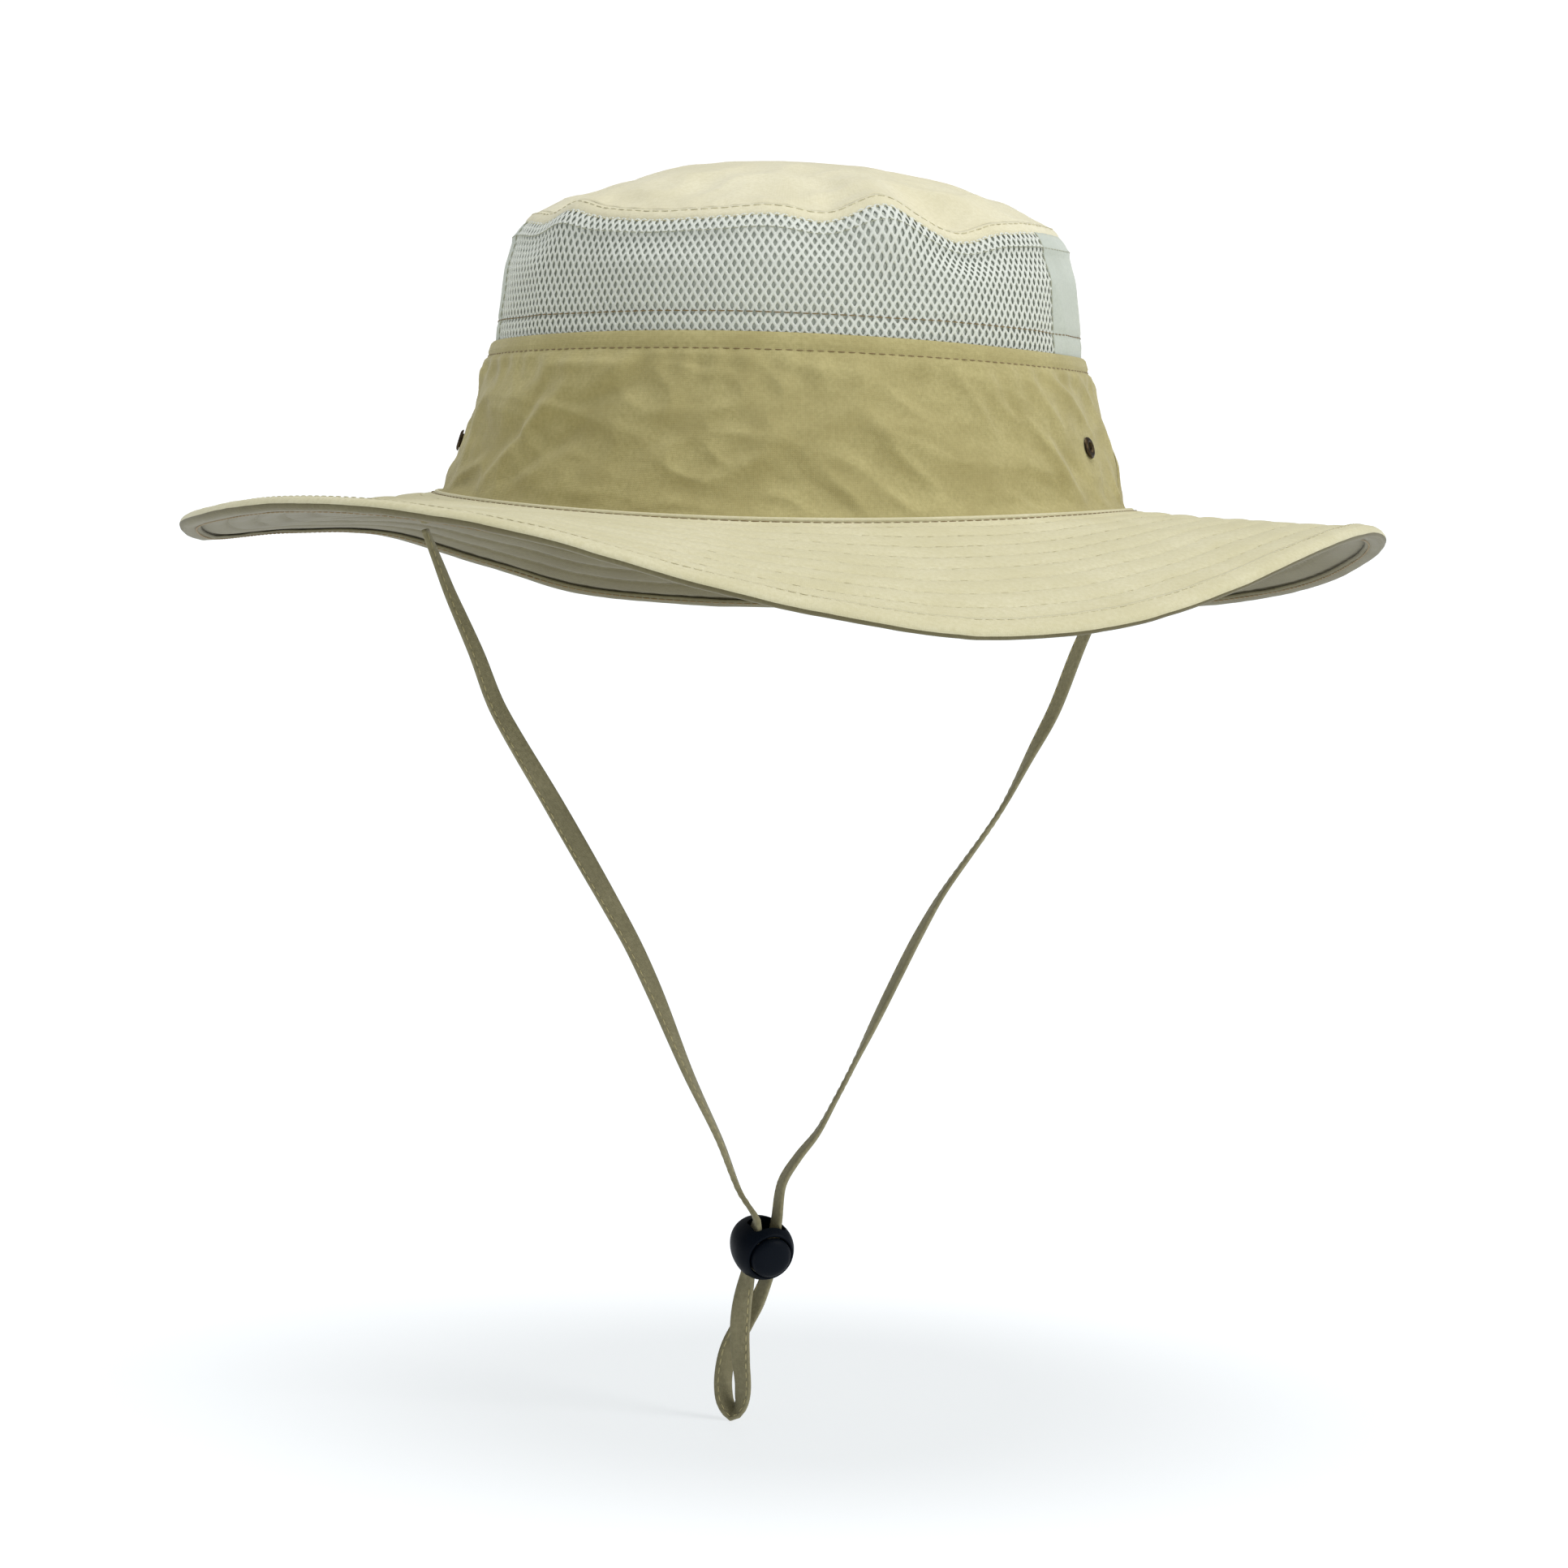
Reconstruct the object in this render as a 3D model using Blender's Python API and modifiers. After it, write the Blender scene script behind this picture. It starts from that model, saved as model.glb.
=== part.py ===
"""A sun hat with a mesh-panelled crown, a stitched brim, and a chin strap with a cord lock.

Metres, +Z up. The origin is the centre of the head opening, level with the brim seam at
the sides. The front of the hat is -Y and the wearer's left is +X. Sizes are in
millimetres where they are named, and become metres where a mesh is made.
"""
import math

import bpy
from mathutils import Matrix, Vector

MM = 0.001

# Crown: outlines run from the top down, as (half width, height) in mm
CROWN_LENGTHENING = 1.07          # the crown's depth, front to back, over its width
DOME_HEIGHT = 100.3
DOME_RISE = 17.9
DOME_RADIUS = 74.5
DOME_POWER = 2.4
SEAM_TAPE = [(75.0, 82.1), (76.1, 81.3), (77.0, 80.4)]
INNER_TAPE = [(72.0, 82.4), (74.6, 80.6), (76.6, 78.6), (78.0, 76.0)]
WALL = [(77.4, 79.7), (79.2, 77.8), (80.5, 75.2), (82.0, 70.5), (83.3, 66.0), (84.5, 56.4),
        (85.0, 50.0), (85.3, 38.0)]
BAND = [(86.3, 45.0), (87.9, 40.0), (90.5, 32.0), (93.0, 21.0), (95.0, 14.0), (97.0, 8.0),
        (99.0, 3.0), (101.0, 0.3)]
SWEATBAND = [(87.6, 27.0), (89.6, 19.0), (92.5, 8.0), (95.5, 1.5)]
FRONT_LIFTS = [(0.0, -5.0), (45.0, 3.0), (83.0, 0.0)]   # (height, rise at front and back)

# How far round each wall panel goes, in degrees from the front
MESH_END = 70.0
PANEL_GAP = 0.4
BAND_GAP = 0.2

# Brim
SEAM_RADIUS = 101.0
BRIM_WIDTH = 74.2
BRIM_START = 101.5
BRIM_CLOTH_END = 172.6
BRIM_CURL = 0.25                  # how much of the brim's fall comes near its edge
RIM_HEIGHTS = [(-90, -13.8), (-75, -10.0), (-60, -6.3), (-45, -2.6), (-30, -2.6), (-15, -8.0),
               (0, -19.0), (12, -26.5), (25, -31.0), (38, -27.3), (50, -18.5), (62, -8.5),
               (75, -2.8), (88, -4.5), (102, -10.5), (120, -21.0), (140, -29.0), (160, -33.0),
               (180, -34.0), (197, -34.0), (210, -30.8), (222, -21.5), (235, -12.5), (250, -12.0),
               (270, -13.8)]      # the edge's waves: (degrees from the front, height)
BRIM_LAYERS = [("brim_upper", 1.15, 0.4), ("brim_interlining", 0.4, 0.7), ("brim_lower", -0.65, 0.4)]
BINDING = [(169.4, 1.95), (173.6, 1.9), (174.8, 1.1), (175.2, 0.0), (174.8, -1.1), (173.6, -1.9),
           (169.4, -1.95), (169.4, -1.45), (173.2, -1.4), (173.9, 0.0), (173.2, 1.4), (169.4, 1.45)]

# Eyelets, in the band on each side of both side seams: (degrees from the front, radius, height)
EYELETS = {"front_left": (74.0, 93.57, 19.0), "back_left": (105.0, 93.57, 19.0),
           "back_right": (255.0, 94.34, 16.3), "front_right": (281.0, 94.34, 16.3)}
EYELET_TILT = 16.0                # degrees above level, as the band leans there
EYELET = [(1.5, 0.9), (2.4, 1.1), (3.1, 0.7), (3.2, 0.32), (2.1, 0.3), (2.1, -2.0), (1.5, -2.0)]
WASHER = [(2.45, -0.95), (3.3, -0.95), (3.3, -1.5), (2.45, -1.5)]
EYELET_CUT_RADIUS = 2.5

# Chin strap: it hangs in one plane under the two sewn ends
STRAP_ANCHOR = (102.9, -19.4)
STRAP_END_TOP = -2.3
STRAP_END_BOTTOM = -8.2
STRAP_TOP = -9.9
STRAP_WIDTH = 6.0
STRAP_RADIUS = 1.5                # of the plain tube that stands for the flat strap
STRAP_SPACING = 8.0
LEFT_LEG = [(-102.9, -9.9), (-98.7, -19.6), (-94.9, -28.5), (-87.0, -45.2), (-79.8, -62.0),
            (-61.9, -90.6), (-40.2, -126.1), (-32.1, -141.9), (-20.9, -166.6), (-11.4, -185.3),
            (-5.4, -199.5)]
RIGHT_LEG = [(7.2, -197.2), (11.6, -189.3), (17.4, -181.4), (22.9, -170.5), (28.5, -158.7),
             (39.7, -134.0), (45.3, -122.2), (51.7, -110.4), (62.2, -94.6), (68.9, -83.7),
             (75.6, -69.9), (82.3, -56.1), (89.4, -36.4), (97.4, -19.0), (102.9, -9.9)]
LOOP = [(-3.4, -20.4, -232.5), (-3.7, -21.8, -241.0), (-3.1, -21.9, -249.5), (-2.4, -21.2, -257.0),
        (-3.1, -20.3, -262.8), (-5.4, -19.4, -265.3), (-7.9, -18.6, -262.0), (-8.7, -17.8, -255.3),
        (-7.4, -16.9, -247.5), (-3.8, -15.6, -240.0), (0.4, -14.6, -232.5)]    # (x, y, z)

# Cord lock: its frame is X across the strap, Y along the strap, Z along the button
LOCK_CENTRE = (1.9, -19.4, -216.2)
LOCK_TURN = 32.0                  # degrees that the button faces round from the front
LOCK_TILT = 17.0                  # degrees that the button faces down
LOCK_RUN = 3.3                    # from the lock's middle to each run of strap
LOCK_BODY = [(0.0, -9.6), (5.2, -9.6), (5.2, -7.4), (6.4, -7.4), (6.4, 6.2), (7.2, 6.2), (8.5, 3.8),
             (9.0, 1.0), (8.6, -3.0), (7.5, -6.5), (6.3, -9.0), (3.6, -10.9), (0.0, -11.3)]
LOCK_PLUNGER = [(0.0, 8.8), (3.6, 8.6), (5.3, 8.0), (6.1, 7.0), (6.1, -4.6), (0.0, -4.6)]
LOCK_SLOT = [(-5.1, 5.1), (-3.3, 4.0)]         # across, then along the button
PLUNGER_SLOT = [(-5.1, 5.1), (-3.3, 6.2)]
SPRING_RADIUS = 4.2
SPRING_WIRE = 0.3
SPRING_ENDS = (-9.2, -5.0)
SPRING_TURNS = 3.0

RING_STEPS = 48
SMALL_STEPS = 16
MERGE = 0.00001


def new_collection(name):
    collection = bpy.data.collections.new(name)
    bpy.context.scene.collection.children.link(collection)
    return collection


def material(name, colour, roughness, metallic=0.0):
    finish = bpy.data.materials.new(name)
    finish.use_nodes = True
    shader = finish.node_tree.nodes["Principled BSDF"]
    shader.inputs["Base Color"].default_value = (*colour, 1.0)
    shader.inputs["Roughness"].default_value = roughness
    shader.inputs["Metallic"].default_value = metallic
    return finish


def baked_mesh(piece):
    """The piece's mesh as its modifiers leave it."""
    bpy.context.view_layer.update()
    evaluated = piece.evaluated_get(bpy.context.evaluated_depsgraph_get())
    return bpy.data.meshes.new_from_object(evaluated)


def shade(piece):
    piece.data.shade_smooth()
    piece.data.set_sharp_from_angle(angle=math.radians(40))


def read_line(stations, place):
    """The value at a place along (place, value) stations, in straight lines between them."""
    for (low, first), (high, last) in zip(stations, stations[1:]):
        if place <= high:
            share = max(0.0, (place - low) / (high - low))
            return first + (last - first) * share
    return stations[-1][1]


def rim_height(angle):
    """The brim edge's height at an angle, on a smooth wave through the stations."""
    turn = (math.degrees(angle) + 90.0) % 360.0 - 90.0
    last = len(RIM_HEIGHTS) - 1
    for index in range(last):
        start, low = RIM_HEIGHTS[index]
        end, high = RIM_HEIGHTS[index + 1]
        if turn <= end:
            break
    before_angle, before = RIM_HEIGHTS[index - 1] if index else RIM_HEIGHTS[-2]
    after_angle, after = RIM_HEIGHTS[index + 2] if index + 2 <= last else RIM_HEIGHTS[1]
    span = end - start
    leaving = (high - before) / (span + (start - before_angle) % 360.0) * span
    arriving = (after - low) / (span + (after_angle - end) % 360.0) * span
    share = (turn - start) / span
    square = share * share
    cube = square * share
    return (low * (2 * cube - 3 * square + 1) + leaving * (cube - 2 * square + share)
            + high * (3 * square - 2 * cube) + arriving * (cube - square))


def on_crown(radius, angle, height):
    """A point of the crown. The angle runs from the front towards the wearer's left."""
    lift = read_line(FRONT_LIFTS, height) * math.cos(angle) ** 2
    return Vector((radius * math.sin(angle), -radius * CROWN_LENGTHENING * math.cos(angle),
                   height + lift)) * MM


def on_brim(radius, angle, above):
    """A point of the brim, above or below the middle of its cloth."""
    beyond = radius - SEAM_RADIUS
    out = beyond / BRIM_WIDTH
    seam = read_line(FRONT_LIFTS, 0.0) * math.cos(angle) ** 2
    fall = (1.0 - BRIM_CURL) * out + BRIM_CURL * out * out
    across = SEAM_RADIUS + beyond
    deep = SEAM_RADIUS * CROWN_LENGTHENING + beyond
    return Vector((across * math.sin(angle), -deep * math.cos(angle),
                   seam + (rim_height(angle) - seam) * fall + above)) * MM


def turned(name, outline, steps, start=90.0, sweep=360.0, closed=False):
    """An outline turned about Z, from an angle that is measured from the front."""
    mesh = bpy.data.meshes.new(name)
    edges = [(index, index + 1) for index in range(len(outline) - 1)]
    if closed:
        edges.append((len(outline) - 1, 0))
    mesh.from_pydata([(radius * MM, 0.0, height * MM) for radius, height in outline], edges, [])
    piece = bpy.data.objects.new(name, mesh)
    bpy.context.scene.collection.objects.link(piece)
    turn = piece.modifiers.new("turn", "SCREW")
    turn.angle = math.radians(sweep)
    turn.steps = steps
    turn.render_steps = steps
    turn.use_merge_vertices = True
    turn.merge_threshold = MERGE
    piece.data = baked_mesh(piece)
    piece.modifiers.clear()
    piece.data.transform(Matrix.Rotation(math.radians(start - 90.0), 4, "Z"))
    return piece


def lay(piece, place):
    """Move every point of a turned piece to where its angle and outline put it on the hat."""
    for vertex in piece.data.vertices:
        radius = math.hypot(vertex.co.x, vertex.co.y) / MM
        angle = math.atan2(vertex.co.x, -vertex.co.y)
        vertex.co = place(radius, angle, vertex.co.z / MM)


def finish_piece(piece, collection, finish):
    """Put a piece in its collection, with its material."""
    for home in list(piece.users_collection):
        home.objects.unlink(piece)
    collection.objects.link(piece)
    piece.data.materials.clear()
    piece.data.materials.append(finish)
    shade(piece)
    return piece


def cloth(name, outline, thickness, collection, finish, place=on_crown, start=90.0, sweep=360.0):
    """A sheet of cloth: an open outline turned, laid on the hat and given its thickness inwards."""
    steps = round(RING_STEPS * sweep / 360.0)
    piece = turned(name, outline, steps, start, sweep)
    lay(piece, place)
    thicken = piece.modifiers.new("thickness", "SOLIDIFY")
    thicken.thickness = thickness * MM
    thicken.offset = -1.0
    thicken.use_even_offset = True
    return finish_piece(piece, collection, finish)


def cut(piece, cutter):
    boolean = piece.modifiers.new("cut", "BOOLEAN")
    boolean.operation = "DIFFERENCE"
    boolean.solver = "EXACT"
    boolean.object = cutter


def cutter_only(piece, cutters):
    piece.hide_render = True
    piece.display_type = "WIRE"
    for home in list(piece.users_collection):
        home.objects.unlink(piece)
    cutters.objects.link(piece)
    return piece


def crown(collection, cloths):
    """The top, its seam tapes, and the wall panels under it."""
    top = []
    for share in (0.0, 0.25, 0.5, 0.72, 0.9, 1.0):
        radius = DOME_RADIUS * share
        top.append((radius, DOME_HEIGHT - DOME_RISE * share ** DOME_POWER))
    cloth("crown_top", top, 0.6, collection, cloths["cream"])
    cloth("crown_seam_tape", SEAM_TAPE, 0.6, collection, cloths["sand"])
    cloth("crown_inner_tape", INNER_TAPE, 0.4, collection, cloths["lining"])
    side = 180.0 - 2.0 * MESH_END - 2.0 * PANEL_GAP
    panels = [("mesh_front", -MESH_END, 2.0 * MESH_END, "mesh"),
              ("side_panel_left", MESH_END + PANEL_GAP, side, "pale"),
              ("mesh_back", 180.0 - MESH_END, 2.0 * MESH_END, "mesh"),
              ("side_panel_right", 180.0 + MESH_END + PANEL_GAP, side, "pale")]
    for name, start, sweep, finish in panels:
        cloth(name, WALL, 0.5, collection, cloths[finish], start=start, sweep=sweep)


def band(collection, cutters, cloths):
    """The lower band in two halves, pierced for the eyelets, and the sweatband inside it."""
    for name, start in (("band_front", -90.0 + BAND_GAP), ("band_back", 90.0 + BAND_GAP)):
        half = cloth(name, BAND, 0.5, collection, cloths["sand"],
                     start=start, sweep=180.0 - 2.0 * BAND_GAP)
        for place, (angle, radius, height) in EYELETS.items():
            in_front = math.cos(math.radians(angle)) > 0.0
            if in_front == (name == "band_front"):
                bpy.ops.mesh.primitive_cylinder_add(
                    vertices=SMALL_STEPS, radius=EYELET_CUT_RADIUS * MM, depth=8.0 * MM)
                drill = cutter_only(bpy.context.object, cutters)
                drill.name = "eyelet_hole_" + place
                drill.matrix_world = eyelet_frame(angle, radius, height)
                cut(half, drill)
    cloth("sweatband", SWEATBAND, 1.0, collection, cloths["sweatband"])


def brim(collection, cloths):
    """Three layers of cloth and the turned edge that closes them."""
    finishes = {"brim_upper": "sand", "brim_interlining": "interlining", "brim_lower": "under"}
    for name, above, thickness in BRIM_LAYERS:
        radii = [BRIM_START + (BRIM_CLOTH_END - BRIM_START) * share / 4.0 for share in range(5)]
        outline = [(radius, above) for radius in radii]
        cloth(name, outline, thickness, collection, cloths[finishes[name]], place=on_brim)
    binding = turned("brim_edge_binding", BINDING, RING_STEPS, closed=True)
    lay(binding, on_brim)
    finish_piece(binding, collection, cloths["sand"])


def eyelet_frame(angle, radius, height):
    """A frame on the band's outer face, with its Z pointing out of the cloth."""
    turn = math.radians(angle)
    place = on_crown(radius, turn, height)
    level = Vector((math.sin(turn), -math.cos(turn) / CROWN_LENGTHENING, 0.0)).normalized()
    tilt = math.radians(EYELET_TILT)
    out = level * math.cos(tilt) + Vector((0.0, 0.0, math.sin(tilt)))
    side = Vector((0.0, 0.0, 1.0)).cross(out).normalized()
    up = out.cross(side)
    frame = Matrix((side, up, out)).transposed().to_4x4()
    frame.translation = place
    return frame


def eyelets(collection, metals):
    for place, (angle, radius, height) in EYELETS.items():
        for kind, outline in (("eyelet", EYELET), ("eyelet_washer", WASHER)):
            ring = turned(f"{kind}_{place}", outline, SMALL_STEPS, closed=True)
            finish_piece(ring, collection, metals["brass"])
            ring.matrix_world = eyelet_frame(angle, radius, height)


def lock_frame():
    """The cord lock's own frame: X across the strap, Y along it, Z out of the button."""
    turn = math.radians(LOCK_TURN)
    tilt = math.radians(LOCK_TILT)
    level = Vector((math.sin(turn), -math.cos(turn), 0.0))
    button = level * math.cos(tilt) - Vector((0.0, 0.0, math.sin(tilt)))
    across = Vector((0.0, 0.0, 1.0)).cross(level)
    along = button.cross(across)
    frame = Matrix((across, along, button)).transposed().to_4x4()
    frame.translation = Vector(LOCK_CENTRE) * MM
    return frame


def strap_route():
    """The strap's own points: down one leg, through the lock, round the loop, and up the other."""
    plane = STRAP_ANCHOR[1]
    frame = lock_frame()
    route = [Vector((x, plane, z)) * MM for x, z in LEFT_LEG]
    route += [frame @ (Vector((-LOCK_RUN, along, 0.0)) * MM) for along in (9.0, 4.0, -4.0, -9.0)]
    route += [Vector(place) * MM for place in LOOP]
    route += [frame @ (Vector((LOCK_RUN, along, 0.0)) * MM) for along in (-9.0, -4.0, 4.0, 9.0)]
    route += [Vector((x, plane, z)) * MM for x, z in RIGHT_LEG]
    return route


def smooth_curve(route, spacing):
    """Points along one smooth curve through the route, a spacing apart or closer."""
    points = []
    for index in range(len(route) - 1):
        start, end = route[index], route[index + 1]
        before = route[max(index - 1, 0)]
        after = route[min(index + 2, len(route) - 1)]
        leaving = (end - before) * 0.5
        arriving = (after - start) * 0.5
        length = (end - start).length
        leaving *= min(1.0, length / max(leaving.length, MERGE))
        arriving *= min(1.0, length / max(arriving.length, MERGE))
        count = max(1, round(length / spacing))
        for step in range(count):
            share = step / count
            square = share * share
            cube = square * share
            points.append(start * (2 * cube - 3 * square + 1) + leaving * (cube - 2 * square + share)
                          + end * (3 * square - 2 * cube) + arriving * (cube - square))
    points.append(route[-1])
    return points


def tube(name, points, radius, collection, finish, resolution=2):
    """A round tube along the points, with closed ends."""
    curve = bpy.data.curves.new(name, "CURVE")
    curve.dimensions = "3D"
    curve.bevel_depth = radius
    curve.bevel_resolution = resolution
    curve.use_fill_caps = True
    spline = curve.splines.new("POLY")
    spline.points.add(len(points) - 1)
    for point, place in zip(spline.points, points):
        point.co = (*place, 1.0)
    piece = bpy.data.objects.new(name, curve)
    collection.objects.link(piece)
    curve.materials.append(finish)
    return piece


def chin_strap(collection, cloths):
    """The two sewn ends under the brim, and the strap that hangs from them."""
    across, plane = STRAP_ANCHOR
    for name, side in (("strap_end_left", 1.0), ("strap_end_right", -1.0)):
        bpy.ops.mesh.primitive_cube_add(size=1.0)
        end = bpy.context.object
        end.name = name
        height = STRAP_END_TOP - STRAP_END_BOTTOM
        end.data.transform(Matrix.Diagonal((1.6 * MM, STRAP_WIDTH * MM, height * MM, 1.0)))
        end.location = Vector((side * across, plane, STRAP_END_BOTTOM + height / 2.0)) * MM
        soften = end.modifiers.new("soft edges", "BEVEL")
        soften.width = 0.3 * MM
        soften.segments = 1
        finish_piece(end, collection, cloths["strap"])
    tube("chin_strap", smooth_curve(strap_route(), STRAP_SPACING * MM), STRAP_RADIUS * MM,
         collection, cloths["strap"])


def slot_cutter(name, span, frame, cutters):
    """A block with round corners that cuts the strap's way through the lock."""
    (left, right), (back, front) = span
    bpy.ops.mesh.primitive_cube_add(size=1.0)
    block = cutter_only(bpy.context.object, cutters)
    block.name = name
    size = ((right - left) * MM, 30.0 * MM, (front - back) * MM, 1.0)
    block.data.transform(Matrix.Diagonal(size))
    block.data.transform(Matrix.Translation((0.0, 0.0, (front + back) / 2.0 * MM)))
    corners = block.modifiers.new("round corners", "BEVEL")
    corners.width = 1.5 * MM
    corners.segments = 3
    block.matrix_world = frame
    return block


def cord_lock(collection, cutters, finishes):
    """A moulded body, the button that slides in it, and the spring behind the button."""
    frame = lock_frame()
    pieces = [("cord_lock_body", LOCK_BODY, LOCK_SLOT), ("cord_lock_button", LOCK_PLUNGER, PLUNGER_SLOT)]
    for name, outline, span in pieces:
        part = turned(name, outline, 28)
        finish_piece(part, collection, finishes["plastic"])
        part.matrix_world = frame
        cut(part, slot_cutter(name + "_slot", span, frame, cutters))
    low, high = SPRING_ENDS
    count = round(SPRING_TURNS * 10)
    coil = []
    for step in range(count + 1):
        share = step / count
        turn = 2.0 * math.pi * SPRING_TURNS * share
        place = Vector((SPRING_RADIUS * math.cos(turn), SPRING_RADIUS * math.sin(turn),
                        low + (high - low) * share)) * MM
        coil.append(frame @ place)
    tube("cord_lock_spring", coil, SPRING_WIRE * MM, collection, finishes["steel"])


def main():
    for leftover in list(bpy.data.objects):
        bpy.data.objects.remove(leftover)
    collection = new_collection("boonie_hat")
    cutters = new_collection("cutters")
    finishes = {
        "cream": material("cream cloth", (0.80, 0.72, 0.46), 0.9),
        "sand": material("sand cloth", (0.56, 0.47, 0.25), 0.9),
        "mesh": material("pale mesh", (0.58, 0.63, 0.55), 0.9),
        "pale": material("pale cloth", (0.66, 0.70, 0.62), 0.9),
        "under": material("brim under cloth", (0.50, 0.48, 0.34), 0.9),
        "lining": material("seam tape", (0.62, 0.60, 0.48), 0.9),
        "interlining": material("brim interlining", (0.75, 0.74, 0.70), 0.9),
        "sweatband": material("sweatband cloth", (0.60, 0.54, 0.36), 0.9),
        "strap": material("strap cloth", (0.22, 0.20, 0.11), 0.9),
        "brass": material("antique brass", (0.14, 0.10, 0.06), 0.4, 1.0),
        "plastic": material("navy plastic", (0.005, 0.008, 0.016), 0.35),
        "steel": material("spring steel", (0.55, 0.55, 0.55), 0.3, 1.0),
    }
    crown(collection, finishes)
    band(collection, cutters, finishes)
    brim(collection, finishes)
    eyelets(collection, finishes)
    chin_strap(collection, finishes)
    cord_lock(collection, cutters, finishes)


main()
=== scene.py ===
# %% [markdown]
# # A sun hat with a mesh crown, a stitched brim and a chin strap
#
# The hat is sewn from flat cuts: a cream cap, two panels of open net, a nylon band, a brim of
# two cloths, and a narrow strap with a cord lock. Its measured frame was made in CAD, and every
# piece here is laid over that frame, so the shapes below are the frame's shapes with cloth's
# life added: folds, threads, stitches and holes. Lengths are in millimetres until a mesh is made.

# %% Load the frame
import math

import bmesh
import bpy
import numpy as np
from mathutils import Matrix, Vector, noise


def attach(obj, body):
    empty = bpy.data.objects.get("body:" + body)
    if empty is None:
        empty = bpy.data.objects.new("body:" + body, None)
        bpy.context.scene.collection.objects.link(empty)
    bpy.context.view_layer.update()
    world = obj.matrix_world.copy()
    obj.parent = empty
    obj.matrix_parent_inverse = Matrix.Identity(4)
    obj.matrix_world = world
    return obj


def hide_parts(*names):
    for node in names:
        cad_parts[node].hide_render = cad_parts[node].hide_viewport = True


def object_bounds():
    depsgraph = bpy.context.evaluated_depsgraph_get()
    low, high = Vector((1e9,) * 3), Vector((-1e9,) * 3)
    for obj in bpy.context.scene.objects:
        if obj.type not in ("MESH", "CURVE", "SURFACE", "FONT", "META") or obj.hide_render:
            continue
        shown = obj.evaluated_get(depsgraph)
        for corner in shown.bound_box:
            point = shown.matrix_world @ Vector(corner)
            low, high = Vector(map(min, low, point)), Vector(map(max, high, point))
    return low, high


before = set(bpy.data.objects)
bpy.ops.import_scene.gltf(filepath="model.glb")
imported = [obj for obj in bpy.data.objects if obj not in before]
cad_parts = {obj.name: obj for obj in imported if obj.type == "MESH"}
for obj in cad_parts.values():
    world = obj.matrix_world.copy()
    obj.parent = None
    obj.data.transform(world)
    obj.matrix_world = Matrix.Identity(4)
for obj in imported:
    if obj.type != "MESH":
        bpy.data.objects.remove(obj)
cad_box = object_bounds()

MM = 0.001

# %% [markdown]
# ## The camera and the room
#
# The hat hangs at eye level, seen from a little to the wearer's left with a long lens, and the
# camera leans slightly. The room is a white table under a wide soft lamp overhead and a second
# lamp to the right, so that the tops are bright, the sides are quieter and folds stay readable.

# %% Camera
def in_scene(name, data):
    """An object that holds some data, linked into the scene."""
    made = bpy.data.objects.new(name, data)
    bpy.context.scene.collection.objects.link(made)
    return made


camera = in_scene("camera", bpy.data.cameras.new("camera"))
camera.data.sensor_width = 36.0
camera.data.lens = 109.57
camera.data.clip_end = 50.0
CAMERA_ROUND = math.radians(7.0)      # how far round to the wearer's left it stands
camera.matrix_world = (
    Matrix.Translation((1.4 * math.sin(CAMERA_ROUND), -1.4 * math.cos(CAMERA_ROUND), 0.010))
    @ Matrix.Rotation(math.radians(6.912), 4, "Z")
    @ Matrix.Rotation(math.radians(90.0 - 3.75), 4, "X")
    @ Matrix.Rotation(math.radians(1.6), 4, "Z"))
bpy.context.scene.camera = camera
bpy.context.scene.view_settings.view_transform = "Standard"
print("camera at", [round(value, 3) for value in camera.matrix_world.translation])


# %% Colours and nodes
def linear(code):
    """A colour written as sRGB hex, turned to the linear numbers that a shader mixes."""
    parts = [int(code[place:place + 2], 16) / 255.0 for place in (1, 3, 5)]
    return (*[part / 12.92 if part <= 0.04045 else ((part + 0.055) / 1.055) ** 2.4
              for part in parts], 1.0)


def add(tree, kind, inputs=None, **settings):
    """Add a node with its settings, and feed each input a value or another node's output."""
    node = tree.nodes.new(kind)
    for key, value in settings.items():
        setattr(node, key, value)
    for key, value in (inputs or {}).items():
        if isinstance(value, bpy.types.NodeSocket):
            tree.links.new(value, node.inputs[key])
        else:
            node.inputs[key].default_value = value
    return node


def new_finish(name, values):
    """A finish with its shader's own values set, and with it its node tree and its shader."""
    finish = bpy.data.materials.new(name)
    finish.use_nodes = True
    shader = finish.node_tree.nodes["Principled BSDF"]
    for title, value in values.items():
        shader.inputs[title].default_value = value
    return finish, finish.node_tree, shader


# %% Table, lamps and white surround
FLOOR_HEIGHT = cad_box[0].z - 0.0006
floor_mesh = bpy.data.meshes.new("table")
floor_mesh.from_pydata([(x, y, FLOOR_HEIGHT) for x, y in ((-60, -60), (60, -60), (60, 60), (-60, 60))],
                       [], [(0, 1, 2, 3)])
table = in_scene("table", floor_mesh)
floor_mesh.materials.append(new_finish("white lit table", {
    "Base Color": (0.45, 0.455, 0.46, 1.0), "Roughness": 0.6, "Specular IOR Level": 0.2,
    "Emission Color": (0.94, 0.975, 1.0, 1.0), "Emission Strength": 0.68})[0])

for title, round_it, height, strength, spread in (
        ("lamp overhead", 0.0, 86.0, 1.90, 42.0), ("lamp right", 72.0, 30.0, 1.15, 30.0)):
    lamp = in_scene(title, bpy.data.lights.new(title, "SUN"))
    lamp.data.energy = strength
    lamp.data.angle = math.radians(spread)
    lamp.matrix_world = (Matrix.Rotation(math.radians(round_it), 4, "Z")
                         @ Matrix.Rotation(math.radians(90.0 - height), 4, "X"))

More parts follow.
